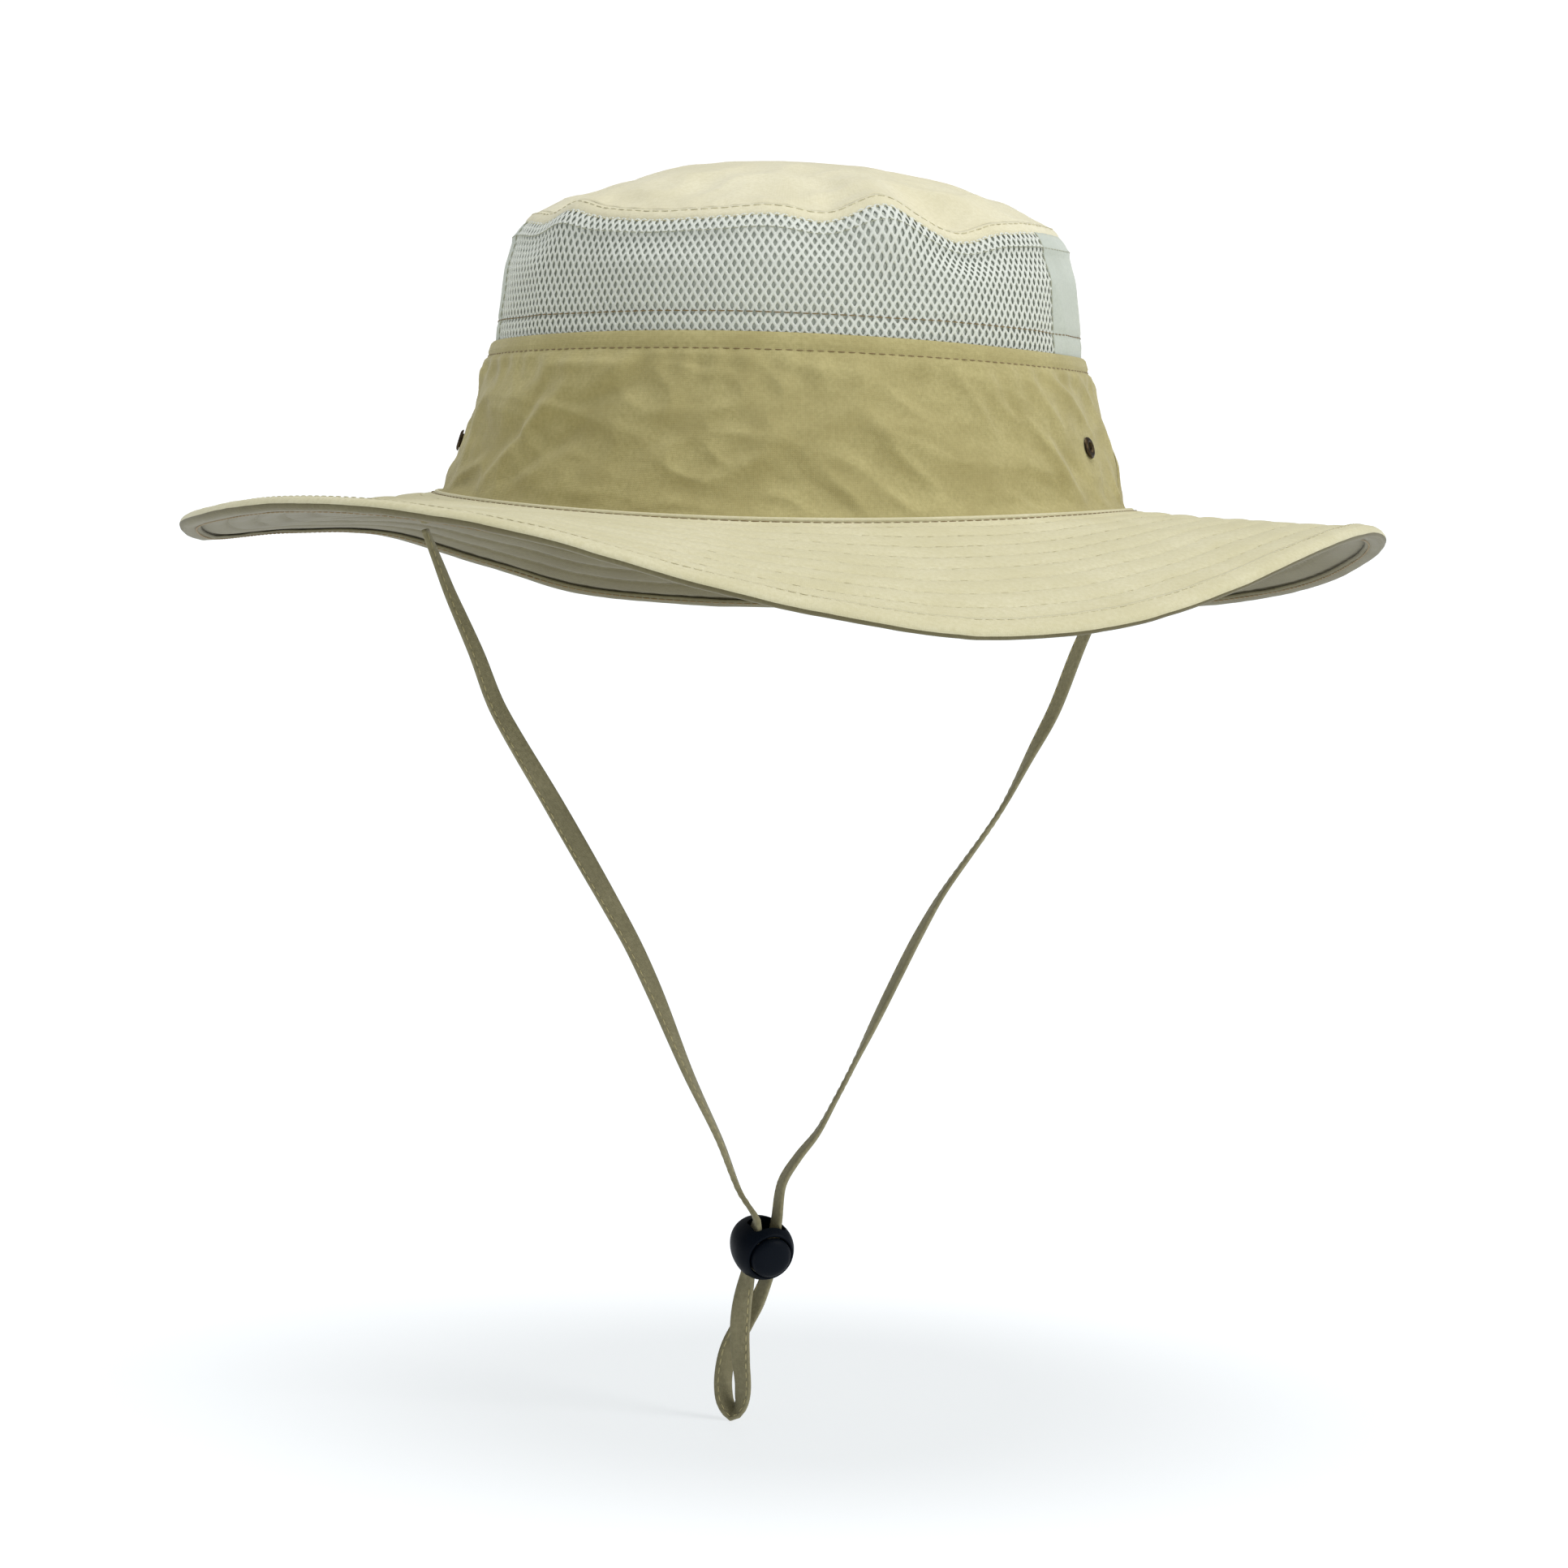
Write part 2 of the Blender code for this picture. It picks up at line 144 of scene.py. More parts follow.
surround = bpy.data.worlds.new("white surround")
bpy.context.scene.world = surround
surround.use_nodes = True
sky = surround.node_tree
sky.nodes.clear()
seen = add(sky, "ShaderNodeBackground", {"Color": (1.0, 1.0, 1.0, 1.0), "Strength": 1.1})
lit = add(sky, "ShaderNodeBackground", {"Color": (0.93, 0.96, 1.0, 1.0), "Strength": 0.30})
rays = add(sky, "ShaderNodeLightPath")
sky_mix = add(sky, "ShaderNodeMixShader", {0: rays.outputs["Is Camera Ray"],
                                           1: lit.outputs[0], 2: seen.outputs[0]})
add(sky, "ShaderNodeOutputWorld", {"Surface": sky_mix.outputs[0]})
print("table at", round(FLOOR_HEIGHT, 4))

# %% [markdown]
# ## The finishes
#
# Nearly all of the hat is nylon cloth: thin, dry and slightly furry against the light, which is
# what sheen gives. A weave could be an image, but two crossed wave patterns on the piece's own
# flat map make one that never stretches, and it follows the cut as real threads do. The threads
# are too fine to part by eye on a whole hat, so they are drawn about twice their size.


# %% Woven cloth
def speckle(tree, where, size, detail):
    """Noise from 0 to 1 with spots of one real size in millimetres."""
    return add(tree, "ShaderNodeTexNoise", {"Vector": where.outputs["Object"], "Scale": 1.0 / (size * MM),
                                            "Detail": detail}).outputs["Fac"]


def bump(tree, height, strength, deep, **inputs):
    """A bump of a real depth in millimetres."""
    return add(tree, "ShaderNodeBump", {"Height": height, "Strength": strength, "Distance": deep * MM,
                                        **inputs}).outputs[0]


def tint(tree, shader, share, darker, colour, grain, roughness, spread):
    """Colour the shader between two colours, and let its roughness follow the grain."""
    # a Mix node keeps a pair of sockets for each kind of data, so its colours go in by place
    mixed = add(tree, "ShaderNodeMix", {0: share, 6: linear(darker), 7: linear(colour)}, data_type="RGBA")
    tree.links.new(mixed.outputs[2], shader.inputs["Base Color"])
    rough = add(tree, "ShaderNodeMapRange", {"Value": grain, "To Min": roughness - spread,
                                             "To Max": min(1.0, roughness + spread)})
    tree.links.new(rough.outputs[0], shader.inputs["Roughness"])


def woven(name, face, worn, thread, roughness=0.85, sheen=0.25, grain=0.35, patch=22.0):
    """Cloth woven from two crossed sets of threads, with a patchy dye and a little fluff."""
    finish, tree, shader = new_finish(name, {"Sheen Weight": sheen, "Sheen Roughness": 0.4,
                                             "Specular IOR Level": 0.25})
    where = add(tree, "ShaderNodeTexCoord")
    beat = 2.0 * math.pi / (20.0 * thread / 100.0)       # wave texture's scale; 100 mm is 1 on the map
    warp, weft = (add(tree, "ShaderNodeTexWave", {"Vector": where.outputs["UV"], "Scale": beat},
                      bands_direction=way).outputs[0] for way in ("X", "Y"))
    cross = add(tree, "ShaderNodeMath", {0: warp, 1: weft}, operation="MULTIPLY")
    dye = speckle(tree, where, patch, 4.0)
    slub = speckle(tree, where, 1.1, 2.0)
    tone = add(tree, "ShaderNodeMath", {0: dye, 1: slub}, operation="MULTIPLY")
    spread = add(tree, "ShaderNodeMapRange", {"Value": tone.outputs[0], "From Min": 0.12, "From Max": 0.42})
    tint(tree, shader, spread.outputs[0], worn, face, slub, roughness, 0.1)
    weave = bump(tree, cross.outputs[0], grain, 0.12)
    tree.links.new(bump(tree, slub, 0.25, 0.25, Normal=weave), shader.inputs["Normal"])
    return finish


CREAM_NYLON = woven("cream air-textured nylon", "#e6e0c3", "#dad3b2", 0.5)
SAND_NYLON = woven("crumpled sand nylon", "#bab07c", "#a99e6b", 0.5, patch=14.0)
BRIM_NYLON = woven("pale sand nylon", "#d7d1b0", "#cbc49e", 0.5)
# The brim's underside cloth is given a dark olive colour that is painted shade: the shade under the brim, put
# into the cloth.
SHADED_UNDER_NYLON = woven("olive nylon under the brim", "#716b4d", "#655e42", 0.5)
STRAP_NYLON = woven("olive strap of folded nylon", "#9a9374", "#817b5e", 0.45, roughness=0.8)
LINING_CLOTH = woven("pale polyester side cloth", "#cdd3c8", "#bfc6ba", 0.4, patch=30.0)
TAPE_COTTON = woven("cotton seam tape", "#c6c2a4", "#b5b092", 0.6)
SWEAT_TERRY = woven("brushed sweatband cloth", "#a89f7c", "#8f8766", 0.9, sheen=0.6, grain=0.8)
STIFFENING = woven("pressed interlining", "#dcdad0", "#cdcabf", 1.2, sheen=0.1)
print("cloths:", len(bpy.data.materials))


# %% Threads, net, metal and plastic
def plain(name, colour, darker, roughness, metallic=0.0, grit=1.5, depth=0.1, sheen=0.0, shine=0.5):
    """A finish with no weave: it has a grain of one real size and a slow change of tone."""
    finish, tree, shader = new_finish(name, {"Metallic": metallic, "Specular IOR Level": shine,
                                             "Sheen Weight": sheen})
    grain = speckle(tree, add(tree, "ShaderNodeTexCoord"), grit, 3.0)
    tint(tree, shader, grain, darker, colour, grain, roughness, 0.08)
    tree.links.new(bump(tree, grain, 0.4, depth), shader.inputs["Normal"])
    return finish


NET_POLYESTER = plain("knitted polyester net", "#e3e6dd", "#d2d6ca", 0.8, grit=0.8, depth=0.15, sheen=0.2)
# The sheet behind the net is painted shade: a grey-green that the holes show in place of the dim inside of
# the crown.
NET_SHADE_SHEET = plain("fine knit behind the net", "#c9cec3", "#b7bdb1", 0.9, grit=0.6, depth=0.1)
# The olive thread under the brim is darkened along with the underside cloth, as painted shade.
CREAM_THREAD, SAND_THREAD, SHADED_UNDER_THREAD, PALE_THREAD, BROWN_THREAD = (
    plain(dyed + " sewing thread", colour, darker, 0.7, grit=0.4, sheen=0.2) for dyed, colour, darker in (
        ("cream", "#d3cca8", "#c2bb95"), ("sand", "#c8bd8c", "#a99e70"), ("olive", "#8a8468", "#767055"),
        ("grey", "#b3b59f", "#989a83"), ("brown", "#8a7446", "#6b5732")))
ANTIQUE_BRASS = plain("antique brass", "#5b4c38", "#2c241a", 0.42, metallic=1.0, grit=0.9, depth=0.04)
NAVY_NYLON = plain("navy moulded nylon", "#060d18", "#040a12", 0.5, grit=0.35, depth=0.03, shine=0.08)
SPRING_STEEL = plain("drawn spring steel", "#b9bbbd", "#95989b", 0.3, metallic=1.0, grit=0.3, depth=0.01)


# %% [markdown]
# ## The chin strap
#
# The strap is a strip of the hat's own cloth, folded and stitched along one edge: 6 mm wide and
# 1.4 mm thick. It hangs from both sides of the brim, runs through the lock and turns back in a
# small loop. A round curve can't twist, so the strip is swept by hand: at every step along its
# smooth route it has a direction for its width, and that direction turns from edge on to face on
# as the real strip does when it hangs.

# %% The route
STRAP_PLANE = -19.4
LEFT_LEG = [(-102.9, -9.9), (-98.7, -19.6), (-94.9, -28.5), (-87.0, -45.2), (-79.8, -62.0),
            (-61.9, -90.6), (-40.2, -126.1), (-32.1, -141.9), (-20.9, -166.6), (-11.4, -185.3),
            (-5.4, -199.5)]
RIGHT_LEG = [(7.2, -197.2), (11.6, -189.3), (17.4, -181.4), (22.9, -170.5), (28.5, -158.7),
             (39.7, -134.0), (45.3, -122.2), (51.7, -110.4), (62.2, -94.6), (68.9, -83.7),
             (75.6, -69.9), (82.3, -56.1), (89.4, -36.4), (97.4, -19.0), (102.9, -9.9)]
LOOP = [(-3.4, -20.4, -232.5), (-3.7, -21.8, -241.0), (-3.1, -21.9, -249.5), (-2.4, -21.2, -257.0),
        (-3.1, -20.3, -262.8), (-5.4, -19.4, -265.3), (-7.9, -18.6, -262.0), (-8.7, -17.8, -255.3),
        (-7.4, -16.9, -247.5), (-3.8, -15.6, -240.0), (0.4, -14.6, -232.5)]    # (x, y, z)
LOCK_CENTRE = (1.9, -19.4, -216.2)
LOCK_TURN = 32.0                  # degrees that the button faces round from the front
LOCK_TILT = 17.0                  # degrees that the button faces down
LOCK_RUN = 3.3                    # from the lock's middle to each run of strap


def lock_place():
    """The lock's own frame in millimetres: X across the strap, Y along it, Z out of the button."""
    turn, tilt = math.radians(LOCK_TURN), math.radians(LOCK_TILT)
    level = Vector((math.sin(turn), -math.cos(turn), 0.0))
    button = level * math.cos(tilt) - Vector((0.0, 0.0, math.sin(tilt)))
    across = Vector((0.0, 0.0, 1.0)).cross(level)
    frame_of_lock = Matrix((across, button.cross(across), button)).transposed().to_4x4()
    frame_of_lock.translation = Vector(LOCK_CENTRE)
    return frame_of_lock


def eased_between(low, high, leaving, arriving, t):
    """A cubic from low to high with a slope at each end; t runs from 0 to 1."""
    return (low * (2 * t ** 3 - 3 * t ** 2 + 1) + leaving * (t ** 3 - 2 * t ** 2 + t)
            + high * (3 * t ** 2 - 2 * t ** 3) + arriving * (t ** 3 - t ** 2))


def smooth_line(route, spacing):
    """Points on one smooth curve through the route, a spacing apart or closer."""
    points = []
    for index in range(len(route) - 1):
        start, end = route[index], route[index + 1]
        length = (end - start).length
        leaving = (end - route[max(index - 1, 0)]) * 0.5
        arriving = (route[min(index + 2, len(route) - 1)] - start) * 0.5
        leaving *= min(1.0, length / max(leaving.length, 0.01))
        arriving *= min(1.0, length / max(arriving.length, 0.01))
        count = max(1, round(length / spacing))
        for step in range(count):
            points.append(eased_between(start, end, leaving, arriving, step / count))
    points.append(route[-1])
    return points


lock = lock_place()
left_leg = [Vector((x, STRAP_PLANE, z)) for x, z in LEFT_LEG]
right_leg = [Vector((x, STRAP_PLANE, z)) for x, z in RIGHT_LEG]
loop = [Vector(place) for place in LOOP]
down_run = [lock @ Vector((-LOCK_RUN, along, 0.0)) for along in (9.0, 4.0, -4.0, -9.0)]
up_run = [lock @ Vector((LOCK_RUN, along, 0.0)) for along in (-9.0, -4.0, 4.0, 9.0)]
strap_line = smooth_line(left_leg + down_run + loop + up_run + right_leg, 1.5)

# %% The way the strip turns as it hangs
STRAP_THICKNESS = 1.4
# (height, degrees): 90 is edge on from the front, and 0 is face on
LEFT_TWIST = [(-206.0, 104.0), (-196.0, 94.0), (-178.0, 88.0), (-161.0, 72.0), (-142.0, 50.0), (-126.0, 42.0),
              (-98.0, 12.0), (-70.0, 40.0), (-42.0, 60.0), (-24.0, 76.0), (-10.0, 90.0)]
RIGHT_TWIST = [(-206.0, 60.0), (-196.0, 67.0), (-187.0, 74.0), (-178.0, 84.0), (-167.0, 88.0), (-158.0, 84.0),
               (-148.0, 70.0), (-129.0, 67.0), (-119.0, 72.0), (-110.0, 82.0), (-98.0, 86.0), (-90.0, 90.0),
               (-81.0, 84.0), (-72.0, 73.0), (-62.0, 57.0), (-44.0, 54.0), (-30.0, 62.0), (-18.0, 78.0),
               (-10.0, 90.0)]
# below the lock the run in front goes face on, and the fold stays nearly so all the way round
LOOP_DOWN_TWIST = [(-265.3, 148.0), (-256.0, 140.0), (-248.0, 160.0), (-240.0, 178.0), (-232.0, 174.0),
                   (-224.0, 122.0)]
LOOP_UP_TWIST = [(-265.3, 148.0), (-261.0, 142.0), (-255.0, 140.0), (-247.0, 152.0), (-240.0, 190.0),
                 (-232.0, 226.0), (-224.0, 238.0)]
LOCK_TOP, LOCK_FOOT = -206.0, -224.0


def unit(rows):
    return rows / np.maximum(np.linalg.norm(rows, axis=-1, keepdims=True), 1e-9)


line = np.array([tuple(point) for point in strap_line])
runs = unit(np.gradient(line, axis=0))
travelled = np.concatenate([[0.0], np.cumsum(np.linalg.norm(np.diff(line, axis=0), axis=1))])
towards_front = np.array([0.0, -1.0, 0.0])
button_way = np.array(tuple(lock.to_3x3().col[2]))
lowest = int(line[:, 2].argmin())
widths = np.zeros_like(line)
for index, (point, run) in enumerate(zip(line, runs)):
    on_left = index < lowest
    flat_way = np.cross(run, towards_front)
    way_up = 1.0 if on_left else -1.0        # the strip has turned half round by its way up
    if LOCK_FOOT <= point[2] <= LOCK_TOP:
        widths[index] = button_way * way_up
        continue
    if point[2] > LOCK_TOP:
        stations = np.array(LEFT_TWIST if on_left else RIGHT_TWIST)
    else:
        stations = np.array(LOOP_DOWN_TWIST if on_left else LOOP_UP_TWIST)
    turn = math.radians(np.interp(point[2], stations[:, 0], stations[:, 1]))
    widths[index] = flat_way * math.cos(turn) + towards_front * math.sin(turn)
    if point[2] > LOCK_TOP:
        widths[index] *= way_up
SMOOTHED_STEPS = 4                       # on each side of a point
padded_widths = np.pad(widths, ((SMOOTHED_STEPS, SMOOTHED_STEPS), (0, 0)), mode="edge")
widths = sum(padded_widths[place:place + len(widths)] for place in range(2 * SMOOTHED_STEPS + 1))
widths = -unit(widths - runs * (widths * runs).sum(axis=1, keepdims=True))
faces = np.cross(runs, widths)

# %% The strip itself
# Half of the outline across the strip: a flat face that dips at the stitch line, and a round edge
EDGE_STITCH = 2.1
HALF_OUTLINE = [(-2.62, 0.70), (-2.35, 0.70), (-EDGE_STITCH, 0.56), (-1.8, 0.70), (-0.9, 0.74),
                (0.3, 0.72), (1.5, 0.70), (2.4, 0.66), (2.8, 0.46), (3.0, 0.0)]
outline = HALF_OUTLINE + [(x, -y) for x, y in reversed(HALF_OUTLINE[:-1])] + [
    (-2.85, -0.45), (-3.0, 0.0), (-2.85, 0.45)]


def new_piece(name, mesh, finish):
    """A mesh object in the scene with one finish and smooth shading."""
    mesh.name = name
    mesh.materials.clear()
    mesh.materials.append(finish)
    mesh.shade_smooth()
    return in_scene(name, mesh)


def cloth_mesh(name, rows, finish, closed=False):
    """Rows of points in millimetres, top row first, as one skin with a flat map of 100 mm a unit."""
    count, around = rows.shape[:2]
    columns = around if closed else around - 1
    down, along = np.meshgrid(np.arange(count - 1), np.arange(columns), indexing="ij")
    nearby = (along + 1) % around
    quads = np.stack([down * around + along, (down + 1) * around + along,
                      (down + 1) * around + nearby, down * around + nearby], -1).reshape(-1, 4)
    mesh = bpy.data.meshes.new(name)
    mesh.from_pydata((rows.reshape(-1, 3) * MM).tolist(), [], quads.tolist())
    step_down = np.linalg.norm(np.diff(rows, axis=0), axis=2).mean(axis=1)
    depth = np.concatenate([[0.0], np.cumsum(step_down)])
    step_along = np.linalg.norm(np.diff(rows, axis=1), axis=2).mean()
    flat = np.stack([np.stack([along, along, along + 1, along + 1], -1) * step_along,
                     np.stack([depth[down], depth[down + 1], depth[down + 1], depth[down]], -1)], -1)
    mesh.uv_layers.new(name="cut").data.foreach_set("uv", (flat.reshape(-1) / 100.0).astype(np.float32))
    return new_piece(name, mesh, finish)


SAME_POINT = 1e-7                        # metres


def closed_up(piece, ends=0, outward=True):
    """Close a skin: its two open ends of so many points, its doubled points, and its faces' way out."""
    skin = bmesh.new()
    skin.from_mesh(piece.data)
    skin.verts.ensure_lookup_table()
    if ends:
        skin.faces.new([skin.verts[index] for index in range(ends)])
        skin.faces.new([skin.verts[len(skin.verts) - ends + index] for index in reversed(range(ends))])
    else:
        bmesh.ops.remove_doubles(skin, verts=skin.verts, dist=SAME_POINT)
    if outward:
        bmesh.ops.recalc_face_normals(skin, faces=skin.faces)
    skin.to_mesh(piece.data)
    skin.free()


def put_in(piece, body, slot, *nodes):
    """Put a piece on its body and in place of its CAD parts; its slot is not used."""
    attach(piece, body)
    if nodes:
        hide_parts(*nodes)
    print(piece.name, len(piece.data.polygons), "faces")


rings = np.array([[point + width * x + face * y for x, y in outline]
                  for point, width, face in zip(line, widths, faces)])
chin_strap = cloth_mesh("chin_strap_ribbon", rings, STRAP_NYLON, closed=True)
closed_up(chin_strap, ends=len(outline))
put_in(chin_strap, "strap", "strap_cloth", "chin_strap")

# %% [markdown]
# ## Stitches
#
# A sewn line is one short thread after another, each sinking into the cloth at its ends. That is
# a shape that repeats along a path, so one small node tree makes every seam of the hat: it puts
# points along curves at the stitch's length, and on each point a thread like a grain of rice,
# turned along the line. The tree's result is kept as a plain mesh.

# %% The stitch tree
def maker_tree(name, **inputs):
    """A node tree that takes the named inputs, each with its kind, and gives back a shape."""
    tree = bpy.data.node_groups.new(name, "GeometryNodeTree")
    for title, kind in {"Base": "Geometry", **inputs, "Finish": "Material"}.items():
        tree.interface.new_socket(title, in_out="INPUT", socket_type="NodeSocket" + kind)
    tree.interface.new_socket("Made", in_out="OUTPUT", socket_type="NodeSocketGeometry")
    return tree, add(tree, "NodeGroupInput").outputs


def handed_out(tree, given, shape):
    """The tree, once it gives the shape its finish and hands it out."""
    coloured = add(tree, "GeometryNodeSetMaterial", {"Geometry": shape, "Material": given["Finish"]})
    add(tree, "NodeGroupOutput", {"Made": coloured.outputs[0]})
    return tree


def math_node(tree, operation, *values):
    return add(tree, "ShaderNodeMath", dict(enumerate(values)), operation=operation).outputs[0]


def as_mesh(piece):
    """What a piece's modifiers make of it, as a plain mesh."""
    bpy.context.view_layer.update()
    return bpy.data.meshes.new_from_object(piece.evaluated_get(bpy.context.evaluated_depsgraph_get()))


def made_by(tree, base, **values):
    """The plain mesh that a tree makes from some data and the values of its inputs."""
    guide = in_scene(tree.name, base)
    maker = guide.modifiers.new("maker", "NODES")
    maker.node_group = tree
    for socket in tree.interface.items_tree:
        if socket.name in values:
            maker[socket.identifier] = values[socket.name]
    mesh = as_mesh(guide)
    bpy.data.objects.remove(guide)
    return mesh


GRAIN_SIDES, GRAIN_RINGS = 6, 4           # a stitch is a stretched ball with this many faces


def stitch_tree():
    tree, given = maker_tree("stitches along lines", Pitch="Float", Thread="Float", Length="Float")
    points = add(tree, "GeometryNodeCurveToPoints", {"Curve": given["Base"], "Length": given["Pitch"]},
                 mode="LENGTH")
    grain = add(tree, "GeometryNodeMeshUVSphere", {"Segments": GRAIN_SIDES, "Rings": GRAIN_RINGS,
                                                   "Radius": 1.0})
    size = add(tree, "ShaderNodeCombineXYZ", {0: given["Thread"], 1: given["Thread"],
                                              2: math_node(tree, "MULTIPLY", given["Length"], 0.5)})
    turn = add(tree, "FunctionNodeAlignRotationToVector", {"Vector": points.outputs["Tangent"]}, axis="Z")
    threads = add(tree, "GeometryNodeInstanceOnPoints", {
        "Points": points.outputs["Points"], "Instance": grain.outputs["Mesh"],
        "Rotation": turn.outputs[0], "Scale": size.outputs[0]})
    solid = add(tree, "GeometryNodeRealizeInstances", {"Geometry": threads.outputs[0]})
    smooth = add(tree, "GeometryNodeSetShadeSmooth", {"Geometry": solid.outputs[0]})
    return handed_out(tree, given, smooth.outputs[0])


STITCHES = stitch_tree()


def sew_round(*what):
    """Sew rows that run all the way round the hat."""
    sew(*what, "hat", closed=True)


def sew(name, lines, pitch, thread, length, finish, body, closed=False):
    """Sew along lines of points in millimetres, and leave the threads as one plain mesh."""
    curve = bpy.data.curves.new(name, "CURVE")
    curve.dimensions = "3D"
    for points in lines:
        spline = curve.splines.new("POLY")
        spline.points.add(len(points) - 1)
        spline.points.foreach_set("co", np.hstack([np.array(points) * MM, np.ones((len(points), 1))]).ravel())
        spline.use_cyclic_u = closed
    mesh = made_by(STITCHES, curve, Pitch=pitch * MM, Thread=thread * MM, Length=length * MM, Finish=finish)
    threads = new_piece(name, mesh, finish)
    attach(threads, body)
    print(name, len(mesh.polygons) // (GRAIN_SIDES * GRAIN_RINGS), "stitches")
    return threads


edge_line = line - widths * EDGE_STITCH
hanging = (line[:, 2] < -11.0) & ((line[:, 2] > -204.0) | (line[:, 2] < -229.0))
strap_rows = []
for side in (1.0, -1.0):
    row = edge_line + faces * 0.66 * side
    for part in np.split(np.arange(len(line)), np.flatnonzero(np.diff(hanging.astype(int))) + 1):
        if hanging[part[0]] and len(part) > 3:
            strap_rows.append(row[part])
strap_threads = sew("stitches_strap", strap_rows, 2.6, 0.2, 2.2, SAND_THREAD, "strap")

# %% [markdown]
# ## The shape of the hat
#
# Two rules place every cloth. The crown's cuts are outlines turned round a head, longer from
# front to back than across, and lifted or lowered at the front. The brim is a ring that falls
# towards an edge with its own waves. Over both lie small folds, which are smooth noise made
# sharp where nylon creases, and a few creases listed one by one where the cloth is pulled.

# %% Crown and brim rules
CROWN_LENGTHENING = 1.07
FRONT_LIFTS = [(0.0, -5.0), (45.0, 3.0), (83.0, 0.0)]   # (height, rise at front and back)
SEAM_RADIUS, BRIM_WIDTH, BRIM_CURL = 101.0, 74.2, 0.25
RIM_HEIGHTS = [(-90, -13.8), (-75, -10.0), (-60, -6.3), (-45, -2.6), (-30, -2.6), (-15, -8.0),
               (0, -19.0), (12, -26.5), (25, -31.0), (38, -27.3), (50, -18.5), (62, -8.5),
               (75, -2.8), (88, -4.5), (102, -10.5), (120, -21.0), (140, -29.0), (160, -33.0),
               (180, -34.0), (197, -34.0), (210, -30.8), (222, -21.5), (235, -12.5), (250, -12.0)]
# the top seam's waves: (degrees from the front, width in degrees, rise)
SEAM_WAVES = [(26, 7, 4.6), (45, 9, -4.6), (60, 5, -0.5), (14, 6, -1.2), (3, 7, 1.0), (-22, 12, -1.2),
              (-45, 6, 2.2), (-58, 6, -1.0), (105, 10, 1.2), (140, 9, -1.6), (170, 11, 1.5),
              (205, 9, -1.4), (235, 8, 1.6)]


def rim_height(angle):
    """The brim edge's height at each angle in radians, on a smooth wave through the stations."""
    places = np.array([place for place, height in RIM_HEIGHTS], float)
    heights = np.array([height for place, height in RIM_HEIGHTS], float)
    turn = (np.degrees(angle) + 90.0) % 360.0 - 90.0
    first = np.clip(np.searchsorted(places, turn, side="right") - 1, 0, len(places) - 1)
    ends = np.concatenate([places[-1:] - 360.0, places, places[:2] + 360.0])
    rise = np.concatenate([heights[-1:], heights, heights[:2]])
    before, start, end, after = (ends[first + place] for place in range(4))
    low_before, low, high, high_after = (rise[first + place] for place in range(4))
    span = end - start
    leaving = (high - low_before) / (end - before) * span
    arriving = (high_after - low) / (after - start) * span
    return eased_between(low, high, leaving, arriving, (turn - start) / span)


def ease(low, high, value):
    """A smooth step from 0 at low to 1 at high."""
    t = np.clip((value - low) / (high - low), 0.0, 1.0)
    return t * t * (3.0 - 2.0 * t)


def bell(value, middle, width):
    """1 at the middle, falling smoothly to 0 on both sides."""
    return np.exp(-((value - middle) / width) ** 2)


def turn_from(angle, degrees):
    """How many degrees an angle in radians lies beyond a place round the hat."""
    return (np.degrees(angle) - degrees + 180.0) % 360.0 - 180.0


def seam_wave(angle):
    """How far the top seam rises or sinks at each angle."""
    return sum(rise * bell(turn_from(angle, degrees), 0.0, width) for degrees, width, rise in SEAM_WAVES)


def on_crown(radius, angle, height):
    """Points of the crown. The angle runs from the front towards the wearer's left."""
    radius, angle, height = np.broadcast_arrays(radius, angle, height)
    places, rises = zip(*FRONT_LIFTS)
    lift = np.interp(height, places, rises) * np.cos(angle) ** 2
    wave = seam_wave(angle) * ease(60.0, 79.0, height) * (1.0 - ease(84.0, 99.0, height))
    puff = seam_wave(angle) * 0.45 * bell(height, 73.0, 6.0)
    radius = radius + puff
    return np.stack([radius * np.sin(angle), -radius * CROWN_LENGTHENING * np.cos(angle),
                     height + lift + wave], -1)


def on_brim(radius, angle, above):
    """Points of the brim, above or below the middle of its cloth."""
    radius, angle, above = np.broadcast_arrays(radius, angle, above)
    beyond = radius - SEAM_RADIUS
    out = beyond / BRIM_WIDTH
    seam = FRONT_LIFTS[0][1] * np.cos(angle) ** 2
    fall = (1.0 - BRIM_CURL) * out + BRIM_CURL * out * out
    return np.stack([(SEAM_RADIUS + beyond) * np.sin(angle),
                     -(SEAM_RADIUS * CROWN_LENGTHENING + beyond) * np.cos(angle),
                     seam + (rim_height(angle) - seam) * fall + above], -1)


def along_outline(stations, count):
    """Evenly spaced points on a smooth line through an outline of (radius, height)."""
    fine = smooth_line([Vector((radius, 0.0, height)) for radius, height in stations], 0.5)
    fine = np.array([(point.x, point.z) for point in fine])
    far = np.concatenate([[0.0], np.cumsum(np.linalg.norm(np.diff(fine, axis=0), axis=1))])
    places = np.linspace(0.0, far[-1], count)
    return np.interp(places, far, fine[:, 0]), np.interp(places, far, fine[:, 1])


OUTLINE_STEPS = 200


def down_outline(values, down):
    """An outline's radius or height at a share of the way down it."""
    return np.interp(down, np.linspace(0.0, 1.0, OUTLINE_STEPS), values)


def share_down(heights, height):
    """How far down an outline a height lies, as a share."""
    return float(np.interp(-height, -heights, np.linspace(0.0, 1.0, OUTLINE_STEPS)))


def outward(angle, lean):
    """The way out of the crown at each angle, tipped up by a lean."""
    return np.stack([np.sin(angle), -np.cos(angle), lean * np.ones_like(angle)], -1)


